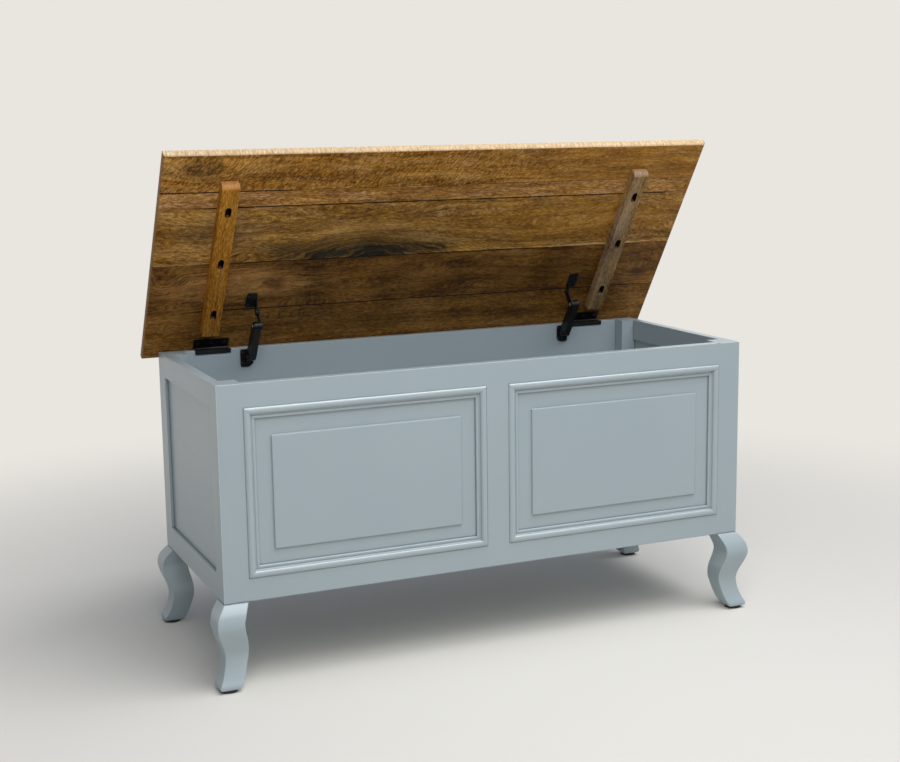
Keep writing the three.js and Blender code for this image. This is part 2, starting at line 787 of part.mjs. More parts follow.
for (const side of sides) {
  const middle = halfWidth - side.stayInset;
  const housingFaces = [middle - housingThickness / 2, middle + housingThickness / 2];
  const bodyEar = [housingFaces[1] + fit, housingFaces[1] + fit + strap];
  const armFaces = [housingFaces[0] - fit - upperArmThickness, housingFaces[0] - fit];
  const lidEar = [armFaces[1] + fit, armFaces[1] + fit + strap];
  const facing = (pair) => span(side.sign, pair[0], pair[1]);

  const plateY = [railFaceY - fit - strap, railFaceY - fit];
  const plateX = [middle - side.boxPlateReach[0], middle + side.boxPlateReach[1]];
  const plateZ = [rim - boxPlateDrop - boxPlateHeight, rim - boxPlateDrop];
  const plateCorners = [
    new THREE.Vector2(plateZ[1], side.sign * plateX[1]),
    new THREE.Vector2(plateZ[1], side.sign * plateX[0]),
    new THREE.Vector2(plateZ[0] + boxPlateChamfer[1], side.sign * plateX[0]),
    new THREE.Vector2(plateZ[0], side.sign * (plateX[0] + boxPlateChamfer[0])),
    new THREE.Vector2(plateZ[0], side.sign * plateX[1]),
  ];
  const plate = prism(roundedOutline(plateCorners, plateCorner), "y", plateY, 3);
  const ear = new THREE.Shape();
  ear.moveTo(plateY[1], boxPivot.y - 2 * earRadius);
  ear.lineTo(plateY[1], boxPivot.y + earRadius);
  ear.absarc(boxPivot.x, boxPivot.y, earRadius, Math.PI / 2, 1.5 * Math.PI, false);
  const pivotX = facing([housingFaces[0] - fit - rivetHead, bodyEar[1] + rivetHead]);
  const bodyPin = bar(pivotRadius, pivotX, boxPivot.x, boxPivot.y, 10);
  const headX = facing([housingFaces[0] - fit - rivetHead, housingFaces[0] - fit]);
  const bodyHead = bar(rivetHeadRadius, headX, boxPivot.x, boxPivot.y, 10);
  const bodyBracket = shaped(plate, [prism(ear, "x", facing(bodyEar), 8), bodyPin, bodyHead], []);
  piece(chest, `stay_${side.label}_body_bracket`, bodyBracket, blackSteel);

  const housing = channel(housingFoot, elbow, housingWidth, housingElbowRadius);
  const neck = link(boxPivot, elbow, housingNeckRadius, housingNeckRadius);
  const boreX = grown(facing(housingFaces), overrun);
  const bore = bar(pivotRadius + fit, boreX, boxPivot.x, boxPivot.y, 10);
  const tailX = facing([housingFaces[1] - rivetHead, housingFaces[1] + rivetHead]);
  const tail = bar(rivetHeadRadius, tailX, elbow.x, elbow.y, 10);
  const neckBody = prism(neck, "x", facing(housingFaces), 8);
  const housingBody = prism(housing, "x", facing(housingFaces), 8);
  const lowerArm = shaped(housingBody, [neckBody, tail], [bore]);
  piece(chest, `stay_${side.label}_lower_arm`, lowerArm, blackSteel);

  const armOutline = link(elbow, lidPivotOpen, upperArmElbowRadius, upperArmLidRadius);
  const knobX = facing([armFaces[0] - rivetHead, armFaces[1] - rivetHead]);
  const knob = bar(rivetHeadRadius, knobX, elbow.x, elbow.y, 10);
  const armBoreX = grown(facing(armFaces), overrun);
  const armBore = bar(pivotRadius + fit, armBoreX, lidPivotOpen.x, lidPivotOpen.y, 10);
  const upperArm = shaped(prism(armOutline, "x", facing(armFaces), 6), [knob], [armBore]);
  piece(chest, `stay_${side.label}_upper_arm`, upperArm, blackSteel);

  const lidPlateX = facing([lidEar[0], lidEar[0] + lidPlateWidth]);
  const lidPlateY = [-lidPlateBack - lidPlateLength, -lidPlateBack];
  const lidPlateZ = [lidUnderside - fit - strap, lidUnderside - fit];
  const lidPlateCorners = [
    new THREE.Vector2(lidPlateX[1], lidPlateY[1]),
    new THREE.Vector2(lidPlateX[0], lidPlateY[1]),
    new THREE.Vector2(lidPlateX[0], lidPlateY[0]),
    new THREE.Vector2(lidPlateX[1], lidPlateY[0]),
  ];
  const lidPlate = prism(roundedOutline(lidPlateCorners, plateCorner), "z", lidPlateZ, 3);
  const lidEarOutline = new THREE.Shape();
  const earRoot = lidPlateY[1] - plateCorner;
  lidEarOutline.moveTo(earRoot, lidPlateZ[1]);
  lidEarOutline.lineTo(earRoot - 3 * earRadius, lidPlateZ[1]);
  lidEarOutline.absarc(lidPivot.x, lidPivot.y, earRadius, Math.PI, 2 * Math.PI, false);
  const lidEarBody = prism(lidEarOutline, "x", facing(lidEar), 8);
  const lidPinX = facing([armFaces[0] - fit - rivetHead, lidEar[1]]);
  const lidPin = bar(pivotRadius, lidPinX, lidPivot.x, lidPivot.y, 10);
  const lidHeadX = facing([armFaces[0] - fit - rivetHead, armFaces[0] - fit]);
  const lidHead = bar(rivetHeadRadius, lidHeadX, lidPivot.x, lidPivot.y, 10);
  const lidBracket = shaped(lidPlate, [lidEarBody, lidPin, lidHead], []);
  piece(lid, `stay_${side.label}_lid_bracket`, lidBracket, blackSteel);
}

export default chest;
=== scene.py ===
# Blanket chest on four cabriole legs: a painted frame-and-panel body with a lid of oiled boards,
# held open by two jointed stays. Metres, +Z up, and the front faces -Y.
import json
import math

import bmesh
import bpy
from mathutils import Matrix, Vector


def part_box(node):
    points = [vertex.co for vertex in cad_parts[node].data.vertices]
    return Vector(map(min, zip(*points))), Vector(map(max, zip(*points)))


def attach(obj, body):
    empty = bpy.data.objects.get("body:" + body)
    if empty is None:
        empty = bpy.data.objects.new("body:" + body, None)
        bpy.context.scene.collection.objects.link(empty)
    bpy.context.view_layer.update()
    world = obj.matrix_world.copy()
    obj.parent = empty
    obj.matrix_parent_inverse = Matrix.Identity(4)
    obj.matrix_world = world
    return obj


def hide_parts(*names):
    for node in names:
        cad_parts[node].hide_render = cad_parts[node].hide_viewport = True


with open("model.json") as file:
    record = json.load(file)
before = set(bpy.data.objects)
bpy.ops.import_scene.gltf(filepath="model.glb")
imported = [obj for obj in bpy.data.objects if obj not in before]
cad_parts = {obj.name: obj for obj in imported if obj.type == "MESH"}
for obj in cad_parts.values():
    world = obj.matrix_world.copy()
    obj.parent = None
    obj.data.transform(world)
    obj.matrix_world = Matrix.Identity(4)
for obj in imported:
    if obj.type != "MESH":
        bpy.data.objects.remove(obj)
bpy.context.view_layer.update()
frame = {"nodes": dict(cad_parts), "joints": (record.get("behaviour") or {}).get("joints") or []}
nodes = frame["nodes"]
scene = bpy.context.scene
scene.view_settings.view_transform = "Standard"
MM = 0.001

# Camera: it stands in front of the chest and to its left, above the rim, and leans over by less
# than a degree. Its field of view is worked out from the photograph's width.
PHOTO_WIDTH = 900
PHOTO_FOCAL = 1493.2
SENSOR = 36
camera_place = Vector((-1.2100, -2.7559, 1.0186))
camera_azimuth = math.radians(-23.659)
camera_height = math.radians(9.861)
camera_roll = math.radians(-0.803)

backward = Vector(
    (
        math.sin(camera_azimuth) * math.cos(camera_height),
        -math.cos(camera_azimuth) * math.cos(camera_height),
        math.sin(camera_height),
    )
)
level = Vector((math.cos(camera_azimuth), math.sin(camera_azimuth), 0))
above = backward.cross(level)
across = math.cos(camera_roll) * level + math.sin(camera_roll) * above
upward = backward.cross(across)
camera_data = bpy.data.cameras.new("camera")
camera_data.sensor_width = SENSOR
camera_data.lens = SENSOR * PHOTO_FOCAL / PHOTO_WIDTH
camera = bpy.data.objects.new("camera", camera_data)
camera.matrix_world = Matrix.Translation(camera_place) @ Matrix(
    (across, upward, backward)
).transposed().to_4x4()
scene.collection.objects.link(camera)
scene.camera = camera


# Studio floor: a wide sheet of pale matt paper that fades into the pale room around it. It is
# stage, and it keeps the chest's soft shadow, which a little of the room's glow lifts.
FLOOR_HALF = 30.0
FLOOR_NEAR = 0.6
FLOOR_FAR = 2.2
SHADOW_LIFT = 0.05


def linear(code):
    """The linear colour of an sRGB hex value."""
    channels = [int(code[i : i + 2], 16) / 255 for i in (1, 3, 5)]
    curve = [c / 12.92 if c <= 0.04045 else ((c + 0.055) / 1.055) ** 2.4 for c in channels]
    return (*curve, 1)


def add(tree, kind, inputs=None, **settings):
    """A node with its settings, and its inputs set, or linked to a socket or a node's output."""
    node = tree.nodes.new(kind)
    for name, value in settings.items():
        setattr(node, name, value)
    for key, value in (inputs or {}).items():
        if isinstance(key, int):
            socket = node.inputs[key]
        else:
            socket = next(s for s in node.inputs if s.enabled and s.name == key)
        if isinstance(value, bpy.types.Node):
            value = next(s for s in value.outputs if s.enabled)
        if isinstance(value, bpy.types.NodeSocket):
            tree.links.new(value, socket)
        else:
            socket.default_value = value
    return node


def bare_material(name):
    """A new material with no nodes yet, and its tree."""
    material = bpy.data.materials.new(name)
    material.use_nodes = True
    material.node_tree.nodes.clear()
    return material, material.node_tree


def seen_directly(tree):
    """1 where the camera, gloss or glass looks at it, and 0 for the light that it throws."""
    path = add(tree, "ShaderNodeLightPath")
    gloss = add(
        tree,
        "ShaderNodeMath",
        {0: path.outputs["Is Camera Ray"], 1: path.outputs["Is Glossy Ray"]},
        operation="MAXIMUM",
    )
    return add(
        tree,
        "ShaderNodeMath",
        {0: gloss, 1: path.outputs["Is Transmission Ray"]},
        operation="MAXIMUM",
    )


ROOM_COLOUR = linear("#E9E6E0")
paper, tree = bare_material("matt_studio_paper")
place = add(tree, "ShaderNodeNewGeometry")
away = add(tree, "ShaderNodeVectorMath", {0: place.outputs["Position"]}, operation="LENGTH")
fade = {
    "Value": away.outputs["Value"],
    "From Min": FLOOR_NEAR,
    "From Max": FLOOR_FAR,
    "To Min": SHADOW_LIFT,
}
fade = add(tree, "ShaderNodeMapRange", fade, interpolation_type="SMOOTHSTEP")
seen = add(tree, "ShaderNodeMath", {0: seen_directly(tree), 1: fade}, operation="MULTIPLY")
sheet = add(tree, "ShaderNodeBsdfDiffuse", {"Color": linear("#E2DED5")})
glow = add(tree, "ShaderNodeEmission", {"Color": ROOM_COLOUR, "Strength": 1})
mixed = add(tree, "ShaderNodeMixShader", {0: seen, 1: sheet, 2: glow})
add(tree, "ShaderNodeOutputMaterial", {"Surface": mixed})
floor_mesh = bpy.data.meshes.new("floor")
floor_mesh.from_pydata(
    [(x * FLOOR_HALF, y * FLOOR_HALF, 0) for x, y in ((-1, -1), (1, -1), (1, 1), (-1, 1))],
    [],
    [(0, 1, 2, 3)],
)
floor_mesh.materials.append(paper)
floor = bpy.data.objects.new("floor", floor_mesh)
scene.collection.objects.link(floor)


# Studio light: a soft box high in front, a wide one overhead to the right that draws the highlights
# on the mouldings, a weak one low in front, and an even light all round.
LIGHTS = (
    ("high_soft_box", (-0.9, -2.4, 2.6), (1.6, 1.6), 30, "#FFFDFA"),
    ("overhead_soft_box", (0.85, -1.1, 3.2), (2.8, 2.2), 94, "#FAFCFF"),
    ("low_soft_box", (-0.7, -2.8, 1.1), (1.2, 1.2), 3.5, "#FFFBF4"),
)
LIGHT_AIM = Vector((0, 0, 0.4))
for name, spot, size, power, tint in LIGHTS:
    lamp = bpy.data.lights.new(name, "AREA")
    lamp.shape = "RECTANGLE"
    lamp.size, lamp.size_y = size
    lamp.energy = power
    lamp.color = linear(tint)[:3]
    holder = bpy.data.objects.new(name, lamp)
    holder.location = spot
    holder.rotation_euler = (LIGHT_AIM - Vector(spot)).to_track_quat("-Z", "Y").to_euler()
    scene.collection.objects.link(holder)

world = bpy.data.worlds.new("pale_room")
world.use_nodes = True
scene.world = world
tree = world.node_tree
tree.nodes.clear()
ambient = add(tree, "ShaderNodeBackground", {"Color": linear("#D0DCF4"), "Strength": 0.26})
room = add(tree, "ShaderNodeBackground", {"Color": ROOM_COLOUR, "Strength": 1})
mixed = add(tree, "ShaderNodeMixShader", {0: seen_directly(tree), 1: ambient, 2: room})
add(tree, "ShaderNodeOutputWorld", {"Surface": mixed})


# Frame of the body: four corner posts, eight rails and a centre stile of mango wood, mortised and
# glued, then sanded flush and sprayed, so that no joint shows and only the outer arrises are eased.
PAINT_ARRIS = 1.0 * MM
WEAR_AND_HIGHLIGHT_REACH = 1.8 * MM
SHADE_REACH = 5 * MM
WELD_REACH = 0.01 * MM
PLANE_REACH = 0.05 * MM
SHARP_ANGLE = math.radians(35)
rail_low, rail_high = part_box("rail_front_top")
half_depth = -rail_low.y
rail_face_y = -rail_high.y
rim = rail_high.z
half_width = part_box("post_front_right")[1].x
rail_face_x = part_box("rail_right_top")[0].x
body_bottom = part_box("rail_front_bottom")[0].z


def scale_of(size_mm):
    """The texture scale that gives a pattern of that size in millimetres."""
    return 1000 / size_mm


def blended(tree, factor, under, over, mode="MIX"):
    """The colour of one layer over another."""
    node = add(
        tree,
        "ShaderNodeMix",
        {"Factor": factor, "A": under, "B": over},
        data_type="RGBA",
        blend_type=mode,
    )
    return node.outputs[2]


def sprayed_paint(name, grain, corner_shade, coat):
    """Satin enamel sprayed on sanded mango wood: an even blue-grey with a soft sheen. The fibres
    just telegraph through along the grain. The arrises are paler, where the paint is thin, with a
    painted highlight along them, and the corners are darker with painted shade."""
    material, tree = bare_material(name)
    place = add(tree, "ShaderNodeTexCoord").outputs["Object"]
    cloud = add(tree, "ShaderNodeTexNoise", {"Vector": place, "Scale": scale_of(240), "Detail": 2.0})
    tone = blended(tree, cloud, linear("#9CAAAF"), linear("#A4B1B5"))
    # How far a point lies from each of the three nearest outer faces. The middle one of the three
    # tells how far it lies from the arris between two of them.
    size = add(tree, "ShaderNodeVectorMath", {0: place}, operation="ABSOLUTE")
    inward = {0: (half_width, half_depth, rim), 1: size}
    inward = add(tree, "ShaderNodeVectorMath", inward, operation="SUBTRACT")
    inward = add(tree, "ShaderNodeVectorMath", {0: inward}, operation="ABSOLUTE")
    inward = add(tree, "ShaderNodeSeparateXYZ", {"Vector": inward})
    from_x, from_y, from_z = inward.outputs
    near = add(tree, "ShaderNodeMath", {0: from_x, 1: from_y}, operation="MINIMUM")
    far = add(tree, "ShaderNodeMath", {0: from_x, 1: from_y}, operation="MAXIMUM")
    far = add(tree, "ShaderNodeMath", {0: far, 1: from_z}, operation="MINIMUM")
    arris = add(tree, "ShaderNodeMath", {0: near, 1: far}, operation="MAXIMUM")
    # The arrises are paler: the paint is thin there, and this also paints a highlight along them.
    edge_rub_and_highlight = add(tree, "ShaderNodeTexNoise", {"Vector": place, "Scale": scale_of(16), "Detail": 3.0})
    edge_rub_and_highlight = add(tree, "ShaderNodeMath", {0: edge_rub_and_highlight, 1: 0.9}, operation="MULTIPLY")
    wear_and_highlight = {"Value": arris, "From Min": WEAR_AND_HIGHLIGHT_REACH, "From Max": 0.0, "To Max": edge_rub_and_highlight}
    wear_and_highlight = add(tree, "ShaderNodeMapRange", wear_and_highlight)
    tone = blended(tree, wear_and_highlight, tone, linear("#C9D2D3"))
    # Painted shade in the quirks and corners: a thin dark line where shadow falls.
    corner = add(tree, "ShaderNodeAmbientOcclusion", {"Distance": SHADE_REACH}, samples=8)
    corner = {"Value": corner.outputs["AO"], "From Min": 0.88, "From Max": 0.4, "To Max": corner_shade}
    corner = add(tree, "ShaderNodeMapRange", corner)
    tone = blended(tree, corner, tone, linear("#3A444A"))
    # The real fibres are about 0.3 mm wide. They are drawn coarser, so that they show.
    along = [scale_of(70) if axis == grain else scale_of(1.8) for axis in "XYZ"]
    stretched = add(tree, "ShaderNodeVectorMath", {0: place, 1: along}, operation="MULTIPLY")
    fibre = add(tree, "ShaderNodeTexNoise", {"Vector": stretched, "Scale": 1.0, "Detail": 3.0})
    peel = add(tree, "ShaderNodeTexNoise", {"Vector": place, "Scale": scale_of(5), "Detail": 2.0})
    relief = add(tree, "ShaderNodeMath", {0: peel, 1: 0.35, 2: fibre}, operation="MULTIPLY_ADD")
    relief = {"Height": relief, "Strength": 0.12, "Distance": 0.4 * MM}
    bump = add(tree, "ShaderNodeBump", relief)
    sheen = {"Value": fibre, "From Min": 0.3, "From Max": 0.7, "To Min": 0.28, "To Max": 0.36}
    sheen = add(tree, "ShaderNodeMapRange", sheen)
    shader = {
        "Base Color": tone,
        "Roughness": sheen,
        "Normal": bump,
        "IOR": 1.65,
        "Coat Weight": coat,
        "Coat Roughness": 0.3,
    }
    shader = add(tree, "ShaderNodeBsdfPrincipled", shader)
    add(tree, "ShaderNodeOutputMaterial", {"Surface": shader})
    return material


# The grain's axes, the strength of the painted shade in corners, and the clear coat of each kind
# of piece. The strips are glossier with little painted shade, the frame has a little beside them, and
# the panels have the most.
PAINTS = {"frame": ("XYZ", 0.4, 0.0), "panel": ("XY", 0.7, 0.0), "moulding": ("XZ", 0.15, 0.8)}
paint = {}
for kind, (axes, corner_shade, coat) in PAINTS.items():
    for axis in axes:
        name = f"sprayed_satin_enamel_{kind}_grain_{axis.lower()}"
        paint[kind, axis] = sprayed_paint(name, axis, corner_shade, coat)


def soft_edges(name, planes=None):
    """A modifier tree that joins a solid's split faces, smooths its round stretches, and marks the
    sharp edges to be eased: all of them, or only those that lie where two of the planes meet."""
    tree = bpy.data.node_groups.new(name, "GeometryNodeTree")
    tree.interface.new_socket("Geometry", in_out="INPUT", socket_type="NodeSocketGeometry")
    tree.interface.new_socket("Geometry", in_out="OUTPUT", socket_type="NodeSocketGeometry")
    given = add(tree, "NodeGroupInput")
    joined = add(tree, "GeometryNodeMergeByDistance", {"Geometry": given, "Distance": WELD_REACH})
    bare = add(tree, "GeometryNodeRemoveAttribute", {"Geometry": joined, "Name": "custom_normal"})
    angle = add(tree, "GeometryNodeInputMeshEdgeAngle")
    sharp = add(
        tree,
        "FunctionNodeCompare",
        {"A": angle.outputs["Unsigned Angle"], "B": SHARP_ANGLE},
        operation="GREATER_THAN",
    )
    smooth = add(tree, "GeometryNodeSetShadeSmooth", {"Geometry": bare}, domain="FACE")
    creased = add(
        tree,
        "GeometryNodeSetShadeSmooth",
        {"Geometry": smooth, "Selection": sharp, "Shade Smooth": False},
        domain="EDGE",
    )
    weight = sharp
    if planes:
        place = add(tree, "GeometryNodeInputPosition")
        size = add(tree, "ShaderNodeVectorMath", {0: place}, operation="ABSOLUTE")
        axes = add(tree, "ShaderNodeSeparateXYZ", {"Vector": size})
        count = 0
        for axis, spots in planes.items():
            for spot in spots:
                on = add(
                    tree,
                    "FunctionNodeCompare",
                    {"A": axes.outputs[axis], "B": spot, "Epsilon": PLANE_REACH},
                    operation="EQUAL",
                )
                count = add(tree, "ShaderNodeMath", {0: on, 1: count}, operation="ADD")
        weight = add(tree, "FunctionNodeCompare", {"A": count, "B": 1.5}, operation="GREATER_THAN")
    marked = add(
        tree,
        "GeometryNodeStoreNamedAttribute",
        {"Geometry": creased, "Name": "bevel_weight_edge", "Value": weight},
        data_type="FLOAT",
        domain="EDGE",
    )
    add(tree, "NodeGroupOutput", {"Geometry": marked})
    return tree


def ease(piece, edges, width, segments=3):
    """Eases a piece's marked edges by a round of that width."""
    marks = piece.modifiers.new("marked_edges", "NODES")
    marks.node_group = edges
    bevel = piece.modifiers.new("eased_edges", "BEVEL")
    bevel.limit_method = "WEIGHT"
    bevel.width = width
    bevel.segments = segments
    bevel.miter_outer = "MITER_ARC"
    level_faces = piece.modifiers.new("level_faces", "WEIGHTED_NORMAL")
    level_faces.keep_sharp = True
    level_faces.weight = 100


def finish(piece, material):
    """Gives a whole piece one material."""
    piece.data.materials.clear()
    piece.data.materials.append(material)


body_planes = {
    "X": (half_width, rail_face_x),
    "Y": (half_depth, rail_face_y),
    "Z": (rim, body_bottom),
}
body_edges = soft_edges("edges_of_the_body", body_planes)
for end in ("front", "back"):
    for side in ("left", "right"):
        post = nodes[f"post_{end}_{side}"]
        finish(post, paint["frame", "Z"])
        ease(post, body_edges, PAINT_ARRIS)
for place_name in ("front", "back", "left", "right"):
    grain = "X" if place_name in ("front", "back") else "Y"
    for height in ("top", "bottom"):
        rail = nodes[f"rail_{place_name}_{height}"]
        finish(rail, paint["frame", grain])
        ease(rail, body_edges, PAINT_ARRIS)
stile = nodes["centre_stile"]
finish(stile, paint["frame", "Z"])
ease(stile, body_edges, PAINT_ARRIS)


# Panels: two front ones with a raised field, and plain ones in the sides and the back. Each is a
# mango board that floats in its grooves, painted with the frame.
FIELD_ARRIS = 1.4 * MM
round_edges = soft_edges("edges_of_a_moulded_or_turned_piece")
for side in ("left", "right"):
    panel = nodes[f"panel_front_{side}"]
    finish(panel, paint["panel", "X"])
    ease(panel, round_edges, FIELD_ARRIS, 2)
for place_name, grain in (("left", "Y"), ("right", "Y"), ("back", "X")):
    panel = nodes[f"panel_{place_name}"]
    finish(panel, paint["panel", grain])
    ease(panel, body_edges, PAINT_ARRIS)


# Mouldings: four strips of mango wood round each front panel, shaped to a bead and an inner lip,
# mitred at the corners, pinned to the frame and painted over.
MOULDING_ARRIS = 0.35 * MM
for side in ("left", "right"):
    for strip in ("bottom", "right", "top", "left"):
        moulding = nodes[f"moulding_{side}_panel_{strip}"]
        finish(moulding, paint["moulding", "X" if strip in ("bottom", "top") else "Z"])
        ease(moulding, round_edges, MOULDING_ARRIS, 2)


# Floor board of the chest and the two cleats that carry it, along the front and the back rail. They
# are plain planed mango wood, glued, and painted with the inside.
for name in ("floor_board", "floor_cleat_front", "floor_cleat_back"):
    finish(nodes[name], paint["frame", "X"])
    ease(nodes[name], round_edges, PAINT_ARRIS)


# Legs: each cabriole leg is bandsawn from one square block to the same curve on two faces, its
# arrises are sanded round, and it is tenoned into the post above and painted with the body.
LEG_SWING = 19 * MM
LEG_SIZE = 46 * MM
LEG_ARRIS = 2.2 * MM
LEG_GAP = 0.3 * MM
LEG_RINGS = 64
LEG_CORNER_STEPS = 4
LEG_CURVE_STEPS = 12
# The leg's two outlines, as shares of its height from the top, and of its swing or its size.
leg_outer_shares = [
    (0, 0),
    (0.065, 0.44),
    (0.15, 0.86),
    (0.257, 1),
    (0.36, 0.82),
    (0.479, 0.44),
    (0.57, 0.19),
    (0.66, 0.12),
    (0.77, 0.265),
    (0.88, 0.56),
    (0.955, 0.86),
    (1, 0.88),
]
leg_inner_shares = [
    (0, 1),
    (0.12, 0.82),
    (0.22, 0.72),
    (0.3, 0.74),
    (0.38, 0.8),
    (0.48, 0.88),
    (0.58, 0.91),
    (0.66, 0.885),
    (0.76, 0.8),
    (0.85, 0.71),
    (0.93, 0.6),
    (1, 0.47),
]


def smooth_line(points, steps):
    """Points along a smooth curve through the given ones."""
    line = []
    last = len(points) - 1
    for i in range(last):
        around = [Vector(points[min(max(k, 0), last)]) for k in (i - 1, i, i + 1, i + 2)]
        for step in range(steps):
            t = step / steps
            line.append(
                0.5
                * (
                    2 * around[1]
                    + (around[2] - around[0]) * t
                    + (2 * around[0] - 5 * around[1] + 4 * around[2] - around[3]) * t**2
                    + (3 * (around[1] - around[2]) + around[3] - around[0]) * t**3
                )
            )
    line.append(Vector(points[last]))
    return line


def value_at(line, place):
    """The second coordinate of a line where its first one is the given place."""
    for a, b in zip(line, line[1:]):
        if a.x <= place <= b.x:
            return a.y + (b.y - a.y) * (place - a.x) / max(b.x - a.x, 1e-9)
    return line[-1].y


def shape_object(name, shape):
    """A linked smooth object of a bmesh, with its faces turned outwards."""
    bmesh.ops.recalc_face_normals(shape, faces=shape.faces)
    mesh = bpy.data.meshes.new(name)
    shape.to_mesh(mesh)
    shape.free()
    for face in mesh.polygons:
        face.use_smooth = True
    made = bpy.data.objects.new(name, mesh)
    scene.collection.objects.link(made)
    return made


def stacked_rings(shape, rings):
    """Skins rings of points, one above the other, and closes both ends."""
    loops = [[shape.verts.new(point) for point in ring] for ring in rings]
    for low, high in zip(loops, loops[1:]):
        for i in range(len(low)):
            j = (i + 1) % len(low)
            shape.faces.new((low[i], low[j], high[j], high[i]))
    shape.faces.new(loops[0])
    shape.faces.new(loops[-1])


def rounded_square(low, high, radius, steps):
    """Points round a square from low to high on both axes, with rounded corners."""
    points = []
    for corner, (x, y) in enumerate(((high, high), (low, high), (low, low), (high, low))):
        centre = Vector((x + (radius if x == low else -radius), y + (radius if y == low else -radius)))
        for step in range(steps + 1):
            turn = math.radians(90) * (corner + step / steps)
            points.append(centre + radius * Vector((math.cos(turn), math.sin(turn))))
    return points


leg_outer = smooth_line(leg_outer_shares, LEG_CURVE_STEPS)
leg_inner = smooth_line(leg_inner_shares, LEG_CURVE_STEPS)
for end in ("front", "back"):
    for side in ("left", "right"):
        node = f"leg_{end}_{side}"
        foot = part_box(node)[0].z
        top = body_bottom - LEG_GAP
        x_sign = -1 if side == "left" else 1
        y_sign = -1 if end == "front" else 1
        rings = []
        levels = [(i / LEG_RINGS * (1 - LEG_ARRIS / (top - foot)), 0) for i in range(LEG_RINGS + 1)]
        # The last rings round the edge of the sole.
        for step in (1, 2, 3):
            turn = math.radians(30 * step)
            sunk = LEG_ARRIS * (1 - math.sin(turn)) / (top - foot)
            levels.append((1 - sunk, LEG_ARRIS * (1 - math.cos(turn))))
        for drop, inset in levels:
            outer = value_at(leg_outer, drop) * LEG_SWING - inset
            inner = -value_at(leg_inner, drop) * LEG_SIZE + inset
            z = top - drop * (top - foot)
            ring = rounded_square(inner, outer, LEG_ARRIS, LEG_CORNER_STEPS)
            rings.append(
                [(x_sign * (half_width + x), y_sign * (half_depth + y), z) for x, y in ring]
            )
        shape = bmesh.new()
        stacked_rings(shape, rings)
        leg = shape_object(f"cabriole_leg_{end}_{side}", shape)
        leg.data.materials.append(paint["frame", "Z"])
        leg_faces = leg.modifiers.new("level_faces", "WEIGHTED_NORMAL")
        leg_faces.weight = 60
        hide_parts(node)
        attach(leg, "chest_body")


# Glides: a round pad under each toe, injection-moulded in black polyethylene and nailed on. It
# keeps the painted toe off the floor, and shows as a thin dark line under it.
GLIDE_ARRIS = 1.2 * MM


def moulded_plastic():
    """Moulded polyethylene: black and slightly waxy, with a fine spark-eroded mould grain."""
    material, tree = bare_material("moulded_black_polyethylene")
    place = add(tree, "ShaderNodeTexCoord").outputs["Object"]
    grit = add(tree, "ShaderNodeTexNoise", {"Vector": place, "Scale": scale_of(0.8), "Detail": 2.0})
    bump = add(tree, "ShaderNodeBump", {"Height": grit, "Strength": 0.3, "Distance": 0.1 * MM})
    scuff = add(tree, "ShaderNodeTexNoise", {"Vector": place, "Scale": scale_of(9), "Detail": 4.0})
    tone = blended(tree, scuff, linear("#141415"), linear("#242425"))
    shader = {"Base Color": tone, "Roughness": 0.55, "Normal": bump, "IOR": 1.5}
    shader = add(tree, "ShaderNodeBsdfPrincipled", shader)
    add(tree, "ShaderNodeOutputMaterial", {"Surface": shader})
    return material


glide_plastic = moulded_plastic()
for end in ("front", "back"):
    for side in ("left", "right"):
        glide = nodes[f"glide_{end}_{side}"]
        finish(glide, glide_plastic)
        ease(glide, round_edges, GLIDE_ARRIS)


# Lid: five boards of mango wood, glued edge to edge, with a rounded edge all round, and oiled. Each
# board has its own tone, and its own swirls, stains and open joints. These are placed in
# millimetres: along the lid from its middle, and from the hinge axis to the front edge.
BOARD_ARRIS = 0.45 * MM
# Heights through the lid's thickness: the battens' faces, and a height inside the boards.
BATTEN_FACE = -16.25
UNDERSIDE = 10.0
# Reaches: of a screw slot, of the largest tick, of the fade at a seam's ends, and of the drift that
# bends the spots. The angle is that of curled fibres.
SLOT_REACH = (8.0, 14.0)
TICK_SIZE = 12
SEAM_FADE = 25
SPOT_DRIFT = (60, 14, 0)
CURL_SLANT = math.radians(-52)
lid_joint = next(joint for joint in frame["joints"] if joint["name"] == "lid_hinge")
lid_axis = Vector(lid_joint["pos_m"])
lid_open = math.radians(-lid_joint["range_deg"][0])
LID_DIRECTIONS = (
    Vector((1, 0, 0)),
    Vector((0, -math.cos(lid_open), math.sin(lid_open))),
    Vector((0, math.sin(lid_open), math.cos(lid_open))),
)


def lid_coordinates(tree):
    """The place on the lid in millimetres: along the boards, from the hinges to the front edge, and
    through the thickness."""
    place = add(tree, "ShaderNodeTexCoord").outputs["Object"]
    from_axis = add(tree, "ShaderNodeVectorMath", {0: place, 1: lid_axis}, operation="SUBTRACT")
    parts = {}
    for key, direction in zip("XYZ", LID_DIRECTIONS):
        measured = {0: from_axis, 1: direction / MM}
        part = add(tree, "ShaderNodeVectorMath", measured, operation="DOT_PRODUCT")
        parts[key] = part.outputs["Value"]
    return add(tree, "ShaderNodeCombineXYZ", parts)


def patches(tree, place, lengths, detail=3.0, rough=0.5):
    """A cloudy pattern about 0.5, with patches of the given lengths in millimetres."""
    sized = {0: place, 1: [1 / length for length in lengths]}
    sized = add(tree, "ShaderNodeVectorMath", sized, operation="MULTIPLY")
    pattern = {"Vector": sized, "Scale": 1.0, "Detail": detail, "Roughness": rough}
    return add(tree, "ShaderNodeTexNoise", pattern)


